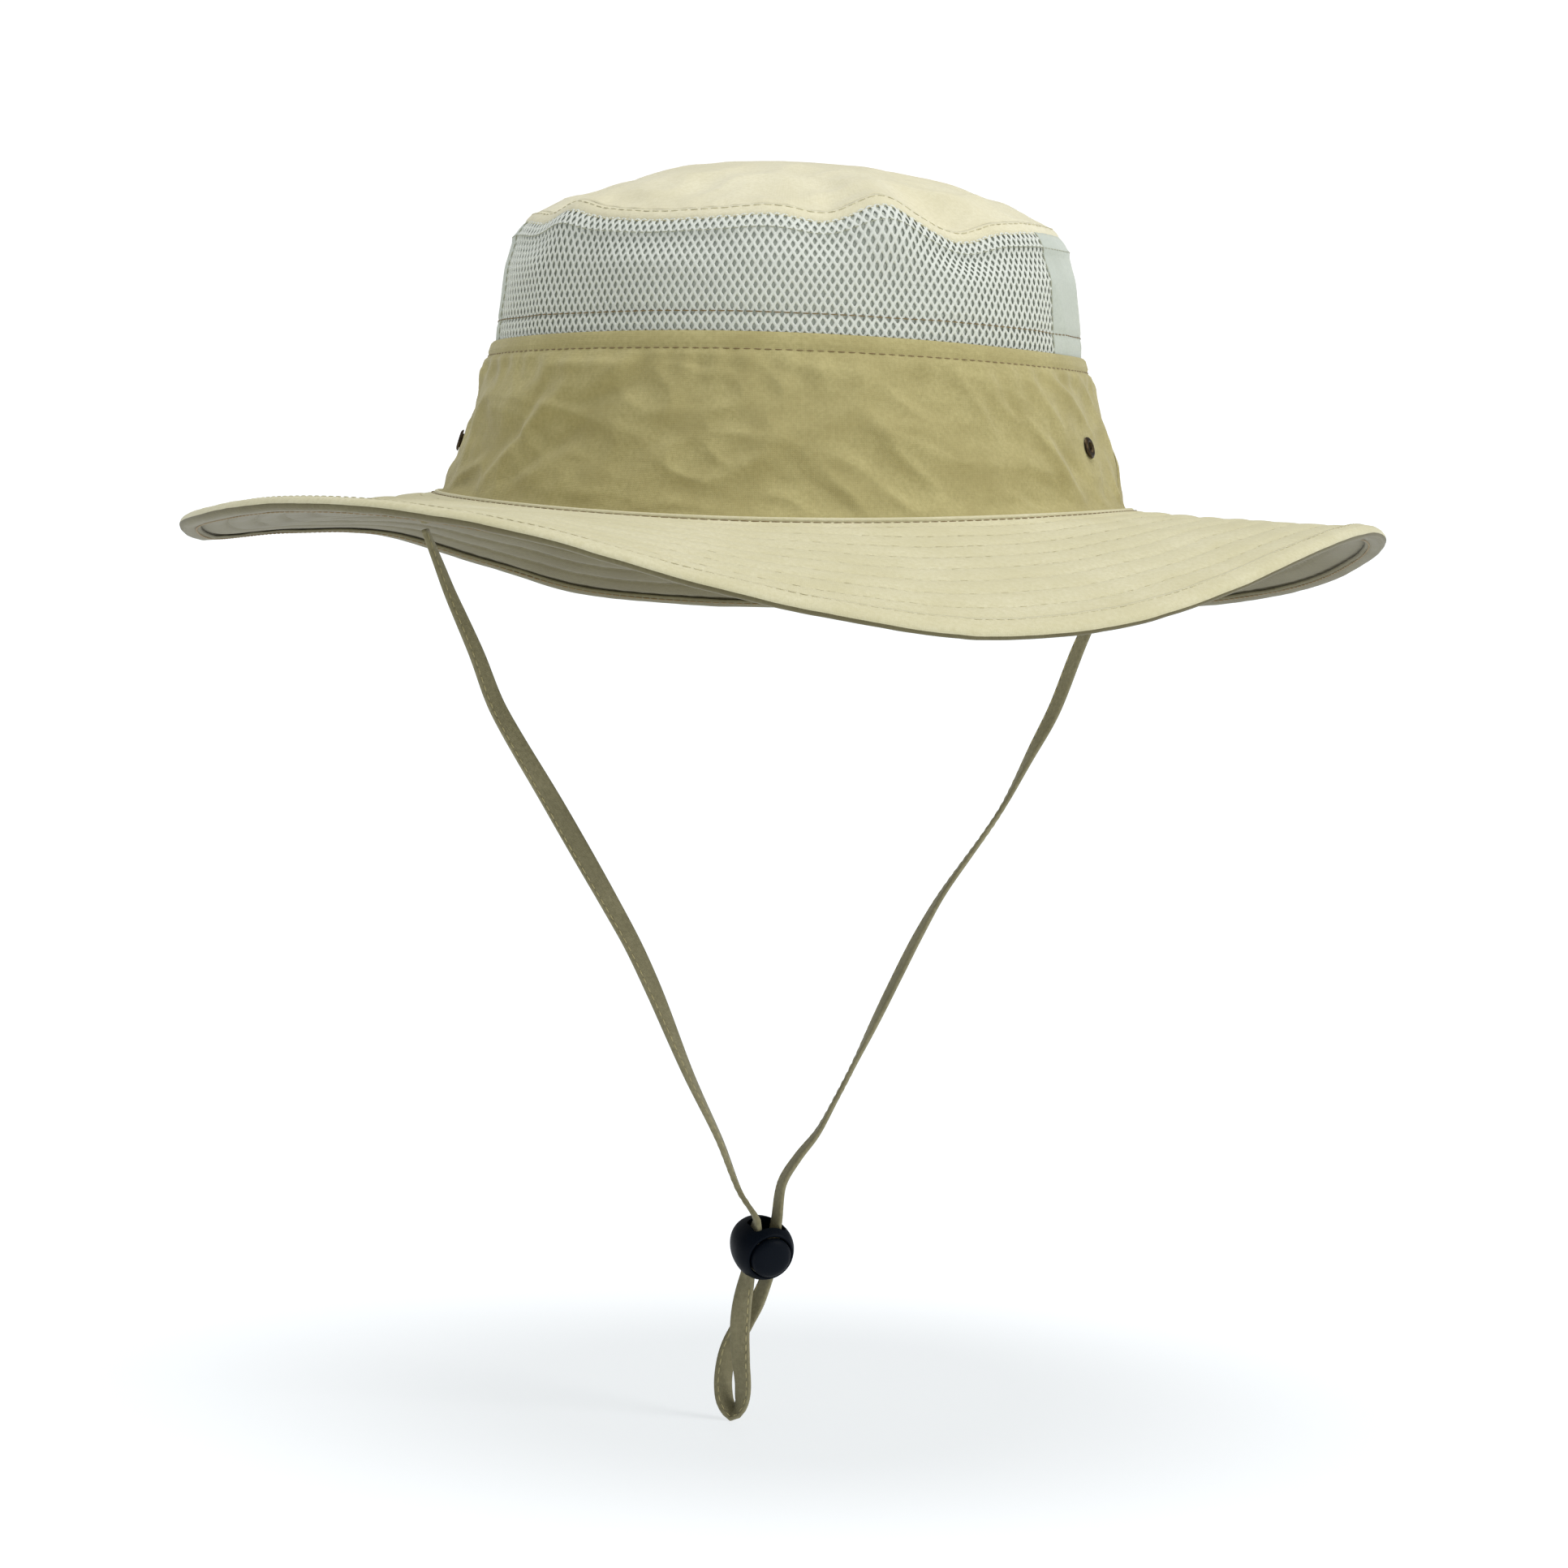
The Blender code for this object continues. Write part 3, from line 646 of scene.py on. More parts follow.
def bumps(points, size, seed):
    """Smooth noise between about -1 and 1, with bumps a size in millimetres apart."""
    shift = Vector((seed * 17.3, seed * 5.1, seed * 9.7))
    flat = points.reshape(-1, 3) / size
    return np.array([noise.noise(Vector(place) + shift) for place in flat]).reshape(points.shape[:-1])


def creases(points, size, seed):
    """Folded cloth: broad slopes that meet in thin ridges, as stiff nylon does."""
    return 0.5 - np.minimum(1.0, np.abs(bumps(points, size, seed)) * 2.4)


def turn_of(first, last, count, whole=False):
    """Angles in radians from degrees. On a whole turn, the last one is left to the first."""
    return np.radians(np.linspace(first, last, count, endpoint=not whole))


def full_turn(count):
    return turn_of(0.0, 360.0, count, whole=True)


def thicken(piece, thickness):
    """Cloth thickness, laid inwards from the skin."""
    solid = piece.modifiers.new("thickness", "SOLIDIFY")
    solid.thickness = thickness * MM
    solid.offset = -1.0


def settle(piece, node, slot, thickness=0.0):
    """Give a cloth its thickness and put it in the hat in its CAD part's place."""
    if thickness:
        thicken(piece, thickness)
    put_in(piece, "hat", slot, node)


def lay_round(name, rows, finish, node, slot, thickness):
    """A cloth that runs all the way round the hat, in its CAD part's place."""
    settle(cloth_mesh(name, rows, finish, closed=True), node, slot, thickness)


# %% [markdown]
# ## The crown's top
#
# A flat oval of cream nylon, eased into the ring of panels below it, so that it billows a little
# and its seam rises and falls. Its rings of points run from the middle out, and its folds grow
# towards the seam, where there is too much cloth.

# %% Top
DOME_HEIGHT, DOME_RISE, DOME_RADIUS, DOME_POWER = 99.5, 17.1, 74.5, 2.4
share = np.linspace(0.0, 1.0, 56)[:, None] ** 0.8
angle = full_turn(288)[None, :]
top = on_crown(DOME_RADIUS * share, angle, DOME_HEIGHT - DOME_RISE * share ** DOME_POWER)
loose = ease(0.05, 0.85, share) * ease(1.0, 0.9, share)
ruck = (bumps(top, 34.0, 1) * 1.9 + creases(top * (1.0, 1.0, 0.3), 30.0, 2) * 1.7
        + creases(top, 17.0, 6) * 0.9 + bumps(top, 8.0, 3) * 0.35) * loose
top[..., 2] += ruck - 0.5 * loose
radial_pucker = np.sin(angle * 61.0 + 3.0 * bumps(top, 20.0, 4)) * 0.16 * ease(0.9, 0.985, share)
top[..., 2] += radial_pucker
crown_top = cloth_mesh("crown_top_cloth", top, CREAM_NYLON, closed=True)
closed_up(crown_top, outward=False)
settle(crown_top, "crown_top", "cream_cloth", 0.5)

# %% Seam under the top
radius, height = along_outline([(74.6, 82.5), (75.6, 81.9), (76.6, 81.0), (77.4, 79.9), (77.8, 78.6)], 9)
angle = full_turn(288)[None, :]
rolled = 0.18 * np.sin(np.linspace(0.0, math.pi, 9))[:, None]
strip = on_crown(radius[:, None] + rolled + 0.1 * np.sin(angle * 61.0), angle, height[:, None])
lay_round("crown_seam_strip", strip, CREAM_NYLON, "crown_seam_tape", "seam_tape", 0.5)
radius, height = along_outline([(72.0, 82.4), (74.6, 80.6), (76.6, 78.4), (77.6, 75.6)], 9)
inner = on_crown(radius[:, None] - 0.5, angle, height[:, None] - 0.4)
lay_round("crown_inside_tape", inner, TAPE_COTTON, "crown_inner_tape", "seam_tape", 0.4)
top_seam_rows = [on_crown(75.75, angle[0], 82.0), on_crown(78.15, angle[0], 79.0)]
sew_round("stitches_crown_top", top_seam_rows, 3.0, 0.17, 2.4, CREAM_THREAD)

# %% [markdown]
# ## The net panels
#
# Two thirds of the crown's wall is open net, so that air moves through. The net is knitted: its
# holes are tall diamonds in staggered rows. One diamond of the net, a hole with the half threads
# round it, is made once. A node tree lays hundreds of them flat side by side and joins them, and
# then the flat net is bent onto the wall, as the real cut is.

# %% One diamond of the net
HOLE_PITCH, ROW_PITCH = 2.57, 2.05            # millimetres across, and from row to row
THREAD_RISE = 0.26


def net_diamond():
    """A hole with the half threads round it, front and back, in metres on the XY plane."""
    corners = [(HOLE_PITCH / 2.0, 0.0), (0.0, ROW_PITCH), (-HOLE_PITCH / 2.0, 0.0), (0.0, -ROW_PITCH)]
    outer = []
    for (x, y), (to_x, to_y) in zip(corners, corners[1:] + corners[:1]):
        outer += [(x, y), ((x + to_x) / 2.0, (y + to_y) / 2.0)]
    hole = [(0.54, 0.0), (0.37, 0.60), (0.0, 1.02), (-0.37, 0.60),
            (-0.54, 0.0), (-0.37, -0.60), (0.0, -1.02), (0.37, -0.60)]
    middle = [((x * 1.1 + u) / 2.1, (y * 1.1 + v) / 2.1) for (x, y), (u, v) in zip(outer, hole)]
    rings = [(outer, THREAD_RISE), (middle, THREAD_RISE * 0.85), (hole, 0.0),
             (middle, -THREAD_RISE * 0.6), (outer, -THREAD_RISE * 0.7)]
    points = [(x * MM, y * MM, z * MM) for ring, z in rings for x, y in ring]
    faces = [(ring * 8 + side, ring * 8 + (side + 1) % 8, ring * 8 + 8 + (side + 1) % 8, ring * 8 + 8 + side)
             for ring in range(4) for side in range(8)]
    mesh = bpy.data.meshes.new("net diamond")
    mesh.from_pydata(points, [], faces)
    return in_scene("net diamond", mesh)


def net_tree():
    tree, given = maker_tree("net of diamonds", Diamond="Object", Columns="Int", Rows="Int",
                             Pitch="Float", RowPitch="Float")
    total = math_node(tree, "MULTIPLY", given["Columns"], given["Rows"])
    places = add(tree, "GeometryNodePoints", {"Count": total})
    index = add(tree, "GeometryNodeInputIndex").outputs[0]
    row = math_node(tree, "FLOOR", math_node(tree, "DIVIDE", index, given["Columns"]))
    column = math_node(tree, "MODULO", index, given["Columns"])
    half = math_node(tree, "MULTIPLY", math_node(tree, "MODULO", row, 2.0), 0.5)
    across = math_node(tree, "MULTIPLY", math_node(tree, "ADD", column, half), given["Pitch"])
    up = math_node(tree, "MULTIPLY", row, given["RowPitch"])
    spot = add(tree, "ShaderNodeCombineXYZ", {0: across, 1: up})
    laid = add(tree, "GeometryNodeSetPosition", {"Geometry": places.outputs[0], "Position": spot.outputs[0]})
    shape = add(tree, "GeometryNodeObjectInfo", {"Object": given["Diamond"]})
    cells = add(tree, "GeometryNodeInstanceOnPoints", {"Points": laid.outputs[0],
                                                       "Instance": shape.outputs["Geometry"]})
    solid = add(tree, "GeometryNodeRealizeInstances", {"Geometry": cells.outputs[0]})
    joined = add(tree, "GeometryNodeMergeByDistance", {"Geometry": solid.outputs[0], "Distance": 0.00002})
    return handed_out(tree, given, joined.outputs[0])


# %% The net laid flat
diamond = net_diamond()
NET_WIDTH, NET_DEPTH = 213.0, 42.8
flat_net = made_by(net_tree(), bpy.data.meshes.new("loom"), Diamond=diamond,
                   Columns=round(NET_WIDTH / HOLE_PITCH) + 1, Rows=round(NET_DEPTH / ROW_PITCH) + 1,
                   Pitch=HOLE_PITCH * MM, RowPitch=ROW_PITCH * MM, Finish=NET_POLYESTER)
bpy.data.objects.remove(diamond)
print("flat net:", len(flat_net.polygons), "faces,", [round(value, 4) for value in flat_net.vertices[0].co])

# %% [markdown]
# ## The net bent onto the crown
#
# The flat net's across becomes an angle and its up becomes a place on the wall's outline. What
# hangs over the panel's edge is pressed onto the edge and closed up, which is what the seam does.

# %% The two net panels
WALL = [(77.4, 79.7), (79.2, 77.8), (80.5, 75.2), (82.0, 70.5), (83.3, 66.0), (84.5, 56.4),
        (85.0, 50.0), (85.3, 38.0)]
NET_END = 70.0                                # degrees from the middle of the front or the back
HIGH_ROW, LOW_ROW = 75.2, 50.8                # heights of the rows of stitches along the net
wall_radius, wall_height = along_outline(WALL, OUTLINE_STEPS)


def wall_point(angle, down, proud=0.0):
    """A point of the crown's wall, at a share of the way down it, in or out from the cloth."""
    angle, down = np.broadcast_arrays(angle, down)
    radius = down_outline(wall_radius, down)
    height = down_outline(wall_height, down)
    point = on_crown(radius, angle, height)
    fold = (bumps(point, 26.0, 11) * 0.8 + creases(point * (1.0, 1.0, 0.6), 24.0, 12) * 0.7)
    hem_line = bell(height, HIGH_ROW, 1.0) * 0.45 - bell(height, LOW_ROW, 1.0) * 0.35
    lively = ease(42.0, 54.0, height) * (1.0 - ease(72.0, 79.0, height))
    out = fold * lively + hem_line + proud
    return point + outward(angle, 0.22) * out[..., None]


def net_panel(name, node, middle):
    flat = np.array([corner.co for corner in flat_net.vertices]) / MM
    angle = np.radians(middle + np.clip(flat[:, 0] / NET_WIDTH * 2.0 - 1.0, -1.0, 1.0) * NET_END)
    down = 1.0 - np.clip(flat[:, 1] / NET_DEPTH, 0.0, 1.0)
    bent = flat_net.copy()
    bent.vertices.foreach_set("co", (wall_point(angle, down, flat[:, 2] - 0.2) * MM).ravel())
    skin = bmesh.new()
    skin.from_mesh(bent)
    bmesh.ops.remove_doubles(skin, verts=skin.verts, dist=0.00002)
    bmesh.ops.dissolve_degenerate(skin, edges=skin.edges, dist=0.00001)
    skin.to_mesh(bent)
    skin.free()
    settle(new_piece(name, bent, NET_POLYESTER), node, "pale_mesh")


net_panel("net_front", "mesh_front", 0.0)
net_panel("net_back", "mesh_back", 180.0)
bpy.data.meshes.remove(flat_net)
# Just behind each net panel lies a plain sheet of painted shade, seen through the holes as the shaded inside
# of the crown.
for title, middle in (("net_backing_front", 0.0), ("net_backing_back", 180.0)):
    angle = turn_of(middle - NET_END, middle + NET_END, 180)[None, :]
    behind = wall_point(angle, np.linspace(0.0, 1.0, 40)[:, None], -0.62)
    put_in(cloth_mesh(title, behind, NET_SHADE_SHEET), "hat", "pale_mesh")

# %% Side panels
for name, node, middle in (("side_cloth_left", "side_panel_left", 90.0),
                           ("side_cloth_right", "side_panel_right", 270.0)):
    angle = turn_of(middle - 20.3, middle + 20.3, 62)[None, :]
    side = wall_point(angle, np.linspace(0.0, 1.0, 44)[:, None], 0.15)
    settle(cloth_mesh(name, side, LINING_CLOTH), node, "pale_cloth", 0.45)
down_row = np.linspace(0.03, 0.84, 60)
seam_rows = [wall_point(math.radians(turn), down_row, 0.3)
             for turn in (69.2, -69.2, 110.8, 249.2)]
sew("stitches_panel_joins", seam_rows, 2.4, 0.2, 2.0, PALE_THREAD, "hat")
ring = full_turn(400)
low_row = wall_point(ring, share_down(wall_height, LOW_ROW), 0.25)
high_row = wall_point(ring, share_down(wall_height, HIGH_ROW), 0.1)
sew_round("stitches_net", [low_row], 2.6, 0.2, 2.2, BROWN_THREAD)
sew_round("stitches_net_top", [high_row], 2.6, 0.17, 2.2, PALE_THREAD)

# %% [markdown]
# ## The band
#
# Below the net runs a deep band of sand nylon, in two halves joined at the sides. Its top edge is
# turned over and stitched, and its lower edge flares out to meet the brim. It is the most crumpled
# cloth of the hat: thin stiff nylon keeps the marks of every fold. So it gets creases of two
# sizes, and a few long ones, listed one by one, that pull towards the eyelets.

# %% Band folds
BAND = [(86.3, 45.0), (87.9, 40.0), (90.5, 32.0), (93.0, 21.0), (95.0, 14.0), (97.0, 8.0), (99.0, 3.0),
        (101.0, 0.3)]
BAND_DEGREE = 1.6                             # millimetres round the band in one degree
EYELET_DEGREE = 1.63                          # and at the eyelets, where the band is wider
# long creases: (from degrees, height, to degrees, height, half width, rise)
PULLS = [(53, 28, 66, 6, 2.6, 1.5), (63, 39, 78, 23, 2.2, 1.4), (39, 37, 46, 22, 2.6, 1.0),
         (58, 33, 65, 23, 2.4, 0.9), (48, 36, 60, 12, 2.6, -0.8), (60, 22, 72, 8, 3.0, -0.9),
         (-35, 31, -52, 8, 2.8, 1.5), (-40, 34, -45, 20, 2.8, -1.3), (-30, 30, -22, 38, 3.0, 0.9),
         (-38, 22, -58, 26, 2.6, 0.7), (-28, 25, -46, 6, 3.2, -1.1), (-18, 33, -33, 27, 2.8, -0.9),
         (-8, 16, 6, 20, 3.0, 0.6), (-14, 12, -2, 8, 2.6, -0.6), (18, 30, 30, 14, 3.0, 0.6),
         (118, 30, 104, 20, 2.6, 1.3), (135, 34, 122, 12, 2.8, 1.1), (160, 30, 150, 12, 2.8, -0.9),
         (190, 14, 205, 28, 3.0, 1.0), (222, 34, 240, 12, 2.6, 1.2), (262, 22, 246, 33, 2.4, 1.3),
         (88, 27, 91, 12, 5.0, 2.2)]
# (degrees from the front, radius, height): front left, back left, back right, front right
EYELETS = [(74.0, 93.57, 19.0), (105.0, 93.57, 19.0), (255.0, 94.34, 16.3), (281.0, 94.34, 16.3)]
HEM_LINE = 40.9                               # height of the row of stitches under the band's top edge
EYELET_TILT = 16.0


def pull(angle, height):
    """The rise of the long creases at each place on the band."""
    total = np.zeros(np.broadcast(angle, height).shape)
    for start, high, end, low, width, rise in PULLS:
        along = turn_from(angle, start) * BAND_DEGREE
        run_x, run_y = (end - start) * BAND_DEGREE, low - high
        far = run_x ** 2 + run_y ** 2
        t = np.clip((along * run_x + (height - high) * run_y) / far, 0.0, 1.0)
        away = np.hypot(along - t * run_x, height - high - t * run_y)
        total += rise * np.exp(-(away / width) ** 1.5) * (0.35 + 0.65 * np.sin(math.pi * (0.15 + 0.7 * t)))
    return total


def band_point(angle, down):
    """A point of the band's outer face, at a share of the way down it."""
    angle, down = np.broadcast_arrays(angle, down)
    radius = down_outline(band_radius, down)
    height = down_outline(band_height, down)
    point = on_crown(radius, angle, height)
    tilted = point * (0.8, 0.8, 1.0) + point[..., [2, 2, 0]] * (0.25, 0.25, 0.0)
    fold = (bumps(tilted, 30.0, 21) * 1.3 + creases(tilted, 27.0, 22) * 1.3
            + creases(tilted, 13.0, 23) * 0.9 + bumps(tilted, 6.0, 24) * 0.32)
    free = ease(HEM_LINE - 0.6, HEM_LINE - 5.0, height) * ease(0.5, 6.0, height)
    for degrees, _, level in EYELETS:
        across = turn_from(angle, degrees) * EYELET_DEGREE
        free = free * ease(4.0, 9.0, np.hypot(across, height - level))
    fold = (fold + pull(angle, height)) * free
    side_seam = -0.5 * bell((np.degrees(angle) + 180.0) % 180.0, 90.0, 0.7)
    hem = 0.12 * ease(HEM_LINE - 0.3, HEM_LINE + 0.4, height) - 0.5 * bell(height, HEM_LINE, 0.55)
    gather = np.sin(angle * 58.0 + 2.0 * bumps(point, 18.0, 25))
    hem = hem + 0.26 * gather * ease(HEM_LINE - 0.1, HEM_LINE - 1.3, height) * ease(30.0, 37.5, height)
    swell = 0.2 * ease(HEM_LINE, HEM_LINE - 1.5, height) * ease(28.0, 37.0, height)
    rolled = -0.4 * ease(44.2, 45.0, height)
    out = fold + side_seam * ease(1.0, 4.0, height) + hem + swell + rolled
    return point + outward(angle, 0.3) * out[..., None]


band_radius, band_height = along_outline(BAND, OUTLINE_STEPS)


def eyelet_place(degrees, radius, height):
    """An eyelet's frame in millimetres, with its Z pointing out of the cloth."""
    turn, tilt = math.radians(degrees), math.radians(EYELET_TILT)
    level = Vector((math.sin(turn), -math.cos(turn) / CROWN_LENGTHENING, 0.0)).normalized()
    out = level * math.cos(tilt) + Vector((0.0, 0.0, math.sin(tilt)))
    side = Vector((0.0, 0.0, 1.0)).cross(out).normalized()
    spot = Matrix((side, out.cross(side), out)).transposed().to_4x4()
    spot.translation = Vector(on_crown(radius, turn, height))
    return spot


def in_metres(spot):
    """A frame in millimetres as one in metres."""
    moved = spot.copy()
    moved.translation = spot.translation * MM
    return moved


def baked(piece):
    """Swap a piece's mesh for what its modifiers make of it."""
    done = as_mesh(piece)
    piece.modifiers.clear()
    piece.data = done


# %% Band halves, pierced for the eyelets
down = np.concatenate([np.linspace(0.0, 0.135, 9)[:-1], np.linspace(0.135, 1.0, 54)])[:, None]
for name, node, first in (("band_cloth_front", "band_front", -89.8), ("band_cloth_back", "band_back", 90.2)):
    angle = turn_of(first, first + 179.6, 300)[None, :]
    half = cloth_mesh(name, band_point(angle, down), SAND_NYLON)
    thicken(half, 0.5)
    drills = []
    for eyelet in EYELETS:
        if (math.cos(math.radians(eyelet[0])) > 0.0) == (first < 0.0):
            bpy.ops.mesh.primitive_cylinder_add(vertices=24, radius=2.5 * MM, depth=8.0 * MM)
            drill = bpy.context.object
            drill.matrix_world = in_metres(eyelet_place(*eyelet))
            hole = half.modifiers.new("eyelet hole", "BOOLEAN")
            hole.object, hole.solver = drill, "EXACT"
            drills.append(drill)
    baked(half)
    half.data.shade_smooth()
    half.data.set_sharp_from_angle(angle=math.radians(60))
    for drill in drills:
        bpy.data.objects.remove(drill)
    settle(half, node, "sand_cloth")
hem_row = band_point(ring, share_down(band_height, HEM_LINE))
hem_row += outward(ring, 0.1) * 0.22
sew_round("stitches_hem", [hem_row], 2.9, 0.2, 2.2, BROWN_THREAD)

# %% [markdown]
# ## The brim
#
# Two cloths with a stiffening between them, quilted together by nine rings of stitches 8 mm
# apart and closed by a rolled edge. Each ring presses a shallow groove into the cloth, and
# between the rings the cloth swells. The threads of the rings are the cloth's own colour, and
# those at the seam and under the edge are brown.

# %% Brim cloths
BRIM_START, BRIM_END = 101.5, 172.6
UPPER_FACE, LOWER_FACE = 1.15, -1.05          # heights above the middle of the brim
RING_GAP = 7.9
QUILT_RINGS = [BRIM_START + 4.6 + RING_GAP * step for step in range(9)]


def quilted(radius, angle, above, way):
    """The brim with its grooves and swells; way is 1 above the brim and -1 below it."""
    flat = on_brim(radius, angle, above)
    groove = sum(bell(radius, ring_at, 0.75) for ring_at in QUILT_RINGS)
    swell = np.abs(np.sin((radius - QUILT_RINGS[0]) / RING_GAP * math.pi))
    ripple = np.sin(angle * 140.0 + 9.0 * bumps(flat, 30.0, 31)) * np.clip(groove, 0.0, 1.0)
    soft = bumps(flat, 38.0, 32) * 0.5 + bumps(flat, 13.0, 33) * 0.16 + creases(flat, 30.0, 34) * 0.25
    calm = ease(BRIM_START, BRIM_START + 5.0, radius) * ease(171.0, 160.0, radius)
    rise = swell * 0.3 - groove * 0.34 + ripple * 0.12
    flat[..., 2] += way * rise + soft * calm
    return flat


radius = np.linspace(BRIM_START, BRIM_END, 92)[:, None]
angle = full_turn(330)[None, :]
upper = quilted(radius, angle, UPPER_FACE, 1.0)
lay_round("brim_cloth_upper", upper, BRIM_NYLON, "brim_upper", "sand_cloth", 0.35)
# The lower cloth's darker colour is painted shade under the brim.
lower = quilted(radius, angle, LOWER_FACE, -1.0)[::-1]
lay_round("brim_cloth_lower", lower, SHADED_UNDER_NYLON, "brim_lower", "under_cloth", 0.35)
between = quilted(radius, angle, 0.25, 0.0)
lay_round("brim_stiffening", between, STIFFENING, "brim_interlining", "interlining", 0.4)

# %% Rolled edge
EDGE_OUTLINE = [(169.0, 1.5), (169.3, 1.95), (170.2, 2.05), (171.8, 2.0), (173.3, 1.9), (174.3, 1.45),
                (174.95, 0.75), (175.2, 0.0), (174.95, -0.75), (174.3, -1.45), (173.3, -1.9),
                (171.8, -2.0), (170.2, -2.05), (169.3, -1.95), (169.0, -1.5), (169.4, -1.35),
                (171.5, -1.3), (173.2, -0.9), (173.6, 0.0), (173.2, 0.9), (171.5, 1.3), (169.4, 1.35)]
edge_angle = full_turn(480)[None, :]
edge_radius = np.array([radius for radius, height in EDGE_OUTLINE + EDGE_OUTLINE[:1]])[:, None]
edge_height = np.array([height for radius, height in EDGE_OUTLINE + EDGE_OUTLINE[:1]])[:, None]
edge_rows = on_brim(edge_radius, edge_angle, edge_height)
wander = bumps(edge_rows, 15.0, 41) * 0.2 + bumps(edge_rows, 5.0, 42) * 0.1
edge_rows[..., 2] += wander
edge = cloth_mesh("brim_rolled_edge", edge_rows, BRIM_NYLON, closed=True)
# The lower half of the rolled edge takes the darker underside finish: painted shade on the same folded cloth.
edge.data.materials.append(SHADED_UNDER_NYLON)
edge_row_of_face = np.repeat(np.arange(len(EDGE_OUTLINE)), edge_angle.size)
shaded_lower_half = (edge_row_of_face > 6) & (edge_row_of_face < 15)         # the outline's lower half
edge.data.polygons.foreach_set("material_index", shaded_lower_half.astype(np.int32))
closed_up(edge)
settle(edge, "brim_edge_binding", "sand_cloth")

# %% Brim stitches
around = full_turn(420)
top_rows = [quilted(np.full(420, at), around, UPPER_FACE, 1.0) + (0.0, 0.0, 0.1) for at in QUILT_RINGS]
sew_round("stitches_brim_upper", top_rows, 3.1, 0.12, 2.3, CREAM_THREAD)
low_rows = [quilted(np.full(420, at), around, LOWER_FACE, -1.0) - (0.0, 0.0, 0.1) for at in QUILT_RINGS[:-1]]
sew_round("stitches_brim_lower", low_rows, 3.1, 0.15, 2.3, SHADED_UNDER_THREAD)
sew_round("stitches_edge_upper", [on_brim(170.4, around, 2.1)], 3.1, 0.15, 2.4, CREAM_THREAD)
sew_round("stitches_edge_lower", [on_brim(170.3, around, -2.12)], 2.6, 0.3, 2.55, BROWN_THREAD)

# %% Seam between band and brim
lip_turn = np.linspace(0.0, 2.0 * math.pi, 9)[:, None]
lip = on_crown(101.35 - 0.75 * np.cos(lip_turn), edge_angle, 1.35 + 0.75 * np.sin(lip_turn))
piping = cloth_mesh("seam_piping", lip, BRIM_NYLON, closed=True)
closed_up(piping)
put_in(piping, "hat", "sand_cloth")
sew_round("stitches_brim_seam", [on_brim(102.75, around, 1.5)], 2.8, 0.2, 2.4, BROWN_THREAD)

# %% [markdown]
# ## The sweatband
#
# A soft strip inside the band that touches the head. It is brushed, so it gets a thicker weave
# with more sheen, a rounded top edge and one row of stitches.

# %% Sweatband
SWEATBAND = [(87.6, 27.0), (89.6, 19.0), (92.5, 8.0), (95.5, 1.5)]
radius, height = along_outline(SWEATBAND, 16)
angle = full_turn(240)[None, :]
soft = np.sin(np.linspace(0.0, math.pi, 16))[:, None] * 0.15
strip = on_crown(radius[:, None] + soft - 0.1, angle, height[:, None])
strip += bumps(strip, 14.0, 51)[..., None] * outward(angle, 0.0) * 0.2
lay_round("sweatband_cloth", strip, SWEAT_TERRY, "sweatband", "sweatband_cloth", 0.8)
sweatband_row = on_crown(88.1, around, 22.5) * (0.99, 0.99, 1.0)
sew_round("stitches_sweatband", [sweatband_row], 3.0, 0.2, 2.4, SAND_THREAD)

# %% [markdown]
# ## Metal and plastic
#
# Four eyelets air the band, each a brass ring rolled over a washer behind the cloth. The cord
# lock is two mouldings: a ball-like shell and a button that slides in it against a spring. Both
# kinds are turned shapes, so their outlines are spun, fine enough to stay round in a close view.

# %% Spinning an outline
EYELET = [(1.5, 0.7), (1.75, 1.0), (2.2, 1.12), (2.7, 1.0), (3.05, 0.75), (3.2, 0.42), (3.05, 0.31),
          (2.12, 0.3), (2.1, -2.0), (1.7, -2.05), (1.5, -1.9)]
WASHER = [(2.45, -1.0), (2.7, -0.95), (3.15, -0.96), (3.3, -1.1), (3.3, -1.4), (3.15, -1.5),
          (2.6, -1.5), (2.45, -1.45)]


def spun(outline, steps, spot):
    """An outline spun round Z into a closed skin, then put in its place."""
    turn = np.linspace(0.0, 2.0 * math.pi, steps, endpoint=False)
    rings = np.array([[(radius * math.cos(t), radius * math.sin(t), height) for t in turn]
                      for radius, height in outline])
    at = np.array(spot)
    return rings @ at[:3, :3].T + at[:3, 3]


def join_skins(name, skins, finish, closed_outline=True):
    """Several spun skins as one piece with outward faces."""
    skin = bmesh.new()
    for rings in skins:
        rows = np.concatenate([rings, rings[:1]]) if closed_outline else rings
        steps = rows.shape[1]
        corners = [[skin.verts.new(point * MM) for point in row] for row in rows]
        for above, below in zip(corners, corners[1:]):
            for step in range(steps):
                following = (step + 1) % steps
                skin.faces.new((above[step], below[step], below[following], above[following]))
    bmesh.ops.remove_doubles(skin, verts=skin.verts, dist=SAME_POINT)
    bmesh.ops.recalc_face_normals(skin, faces=skin.faces)
    mesh = bpy.data.meshes.new(name)
    skin.to_mesh(mesh)
    skin.free()
    piece = new_piece(name, mesh, finish)
    mesh.set_sharp_from_angle(angle=math.radians(50))
    return piece


# %% Eyelets
SIDES = ("front_left", "back_left", "back_right", "front_right")
for title, kind, shape in (("eyelet_rings", "eyelet_", EYELET), ("eyelet_backs", "eyelet_washer_", WASHER)):
    skins = [spun(shape, 48, eyelet_place(*eyelet)) for eyelet in EYELETS]
    put_in(join_skins(title, skins, ANTIQUE_BRASS), "hat", "antique_brass", *[kind + side for side in SIDES])

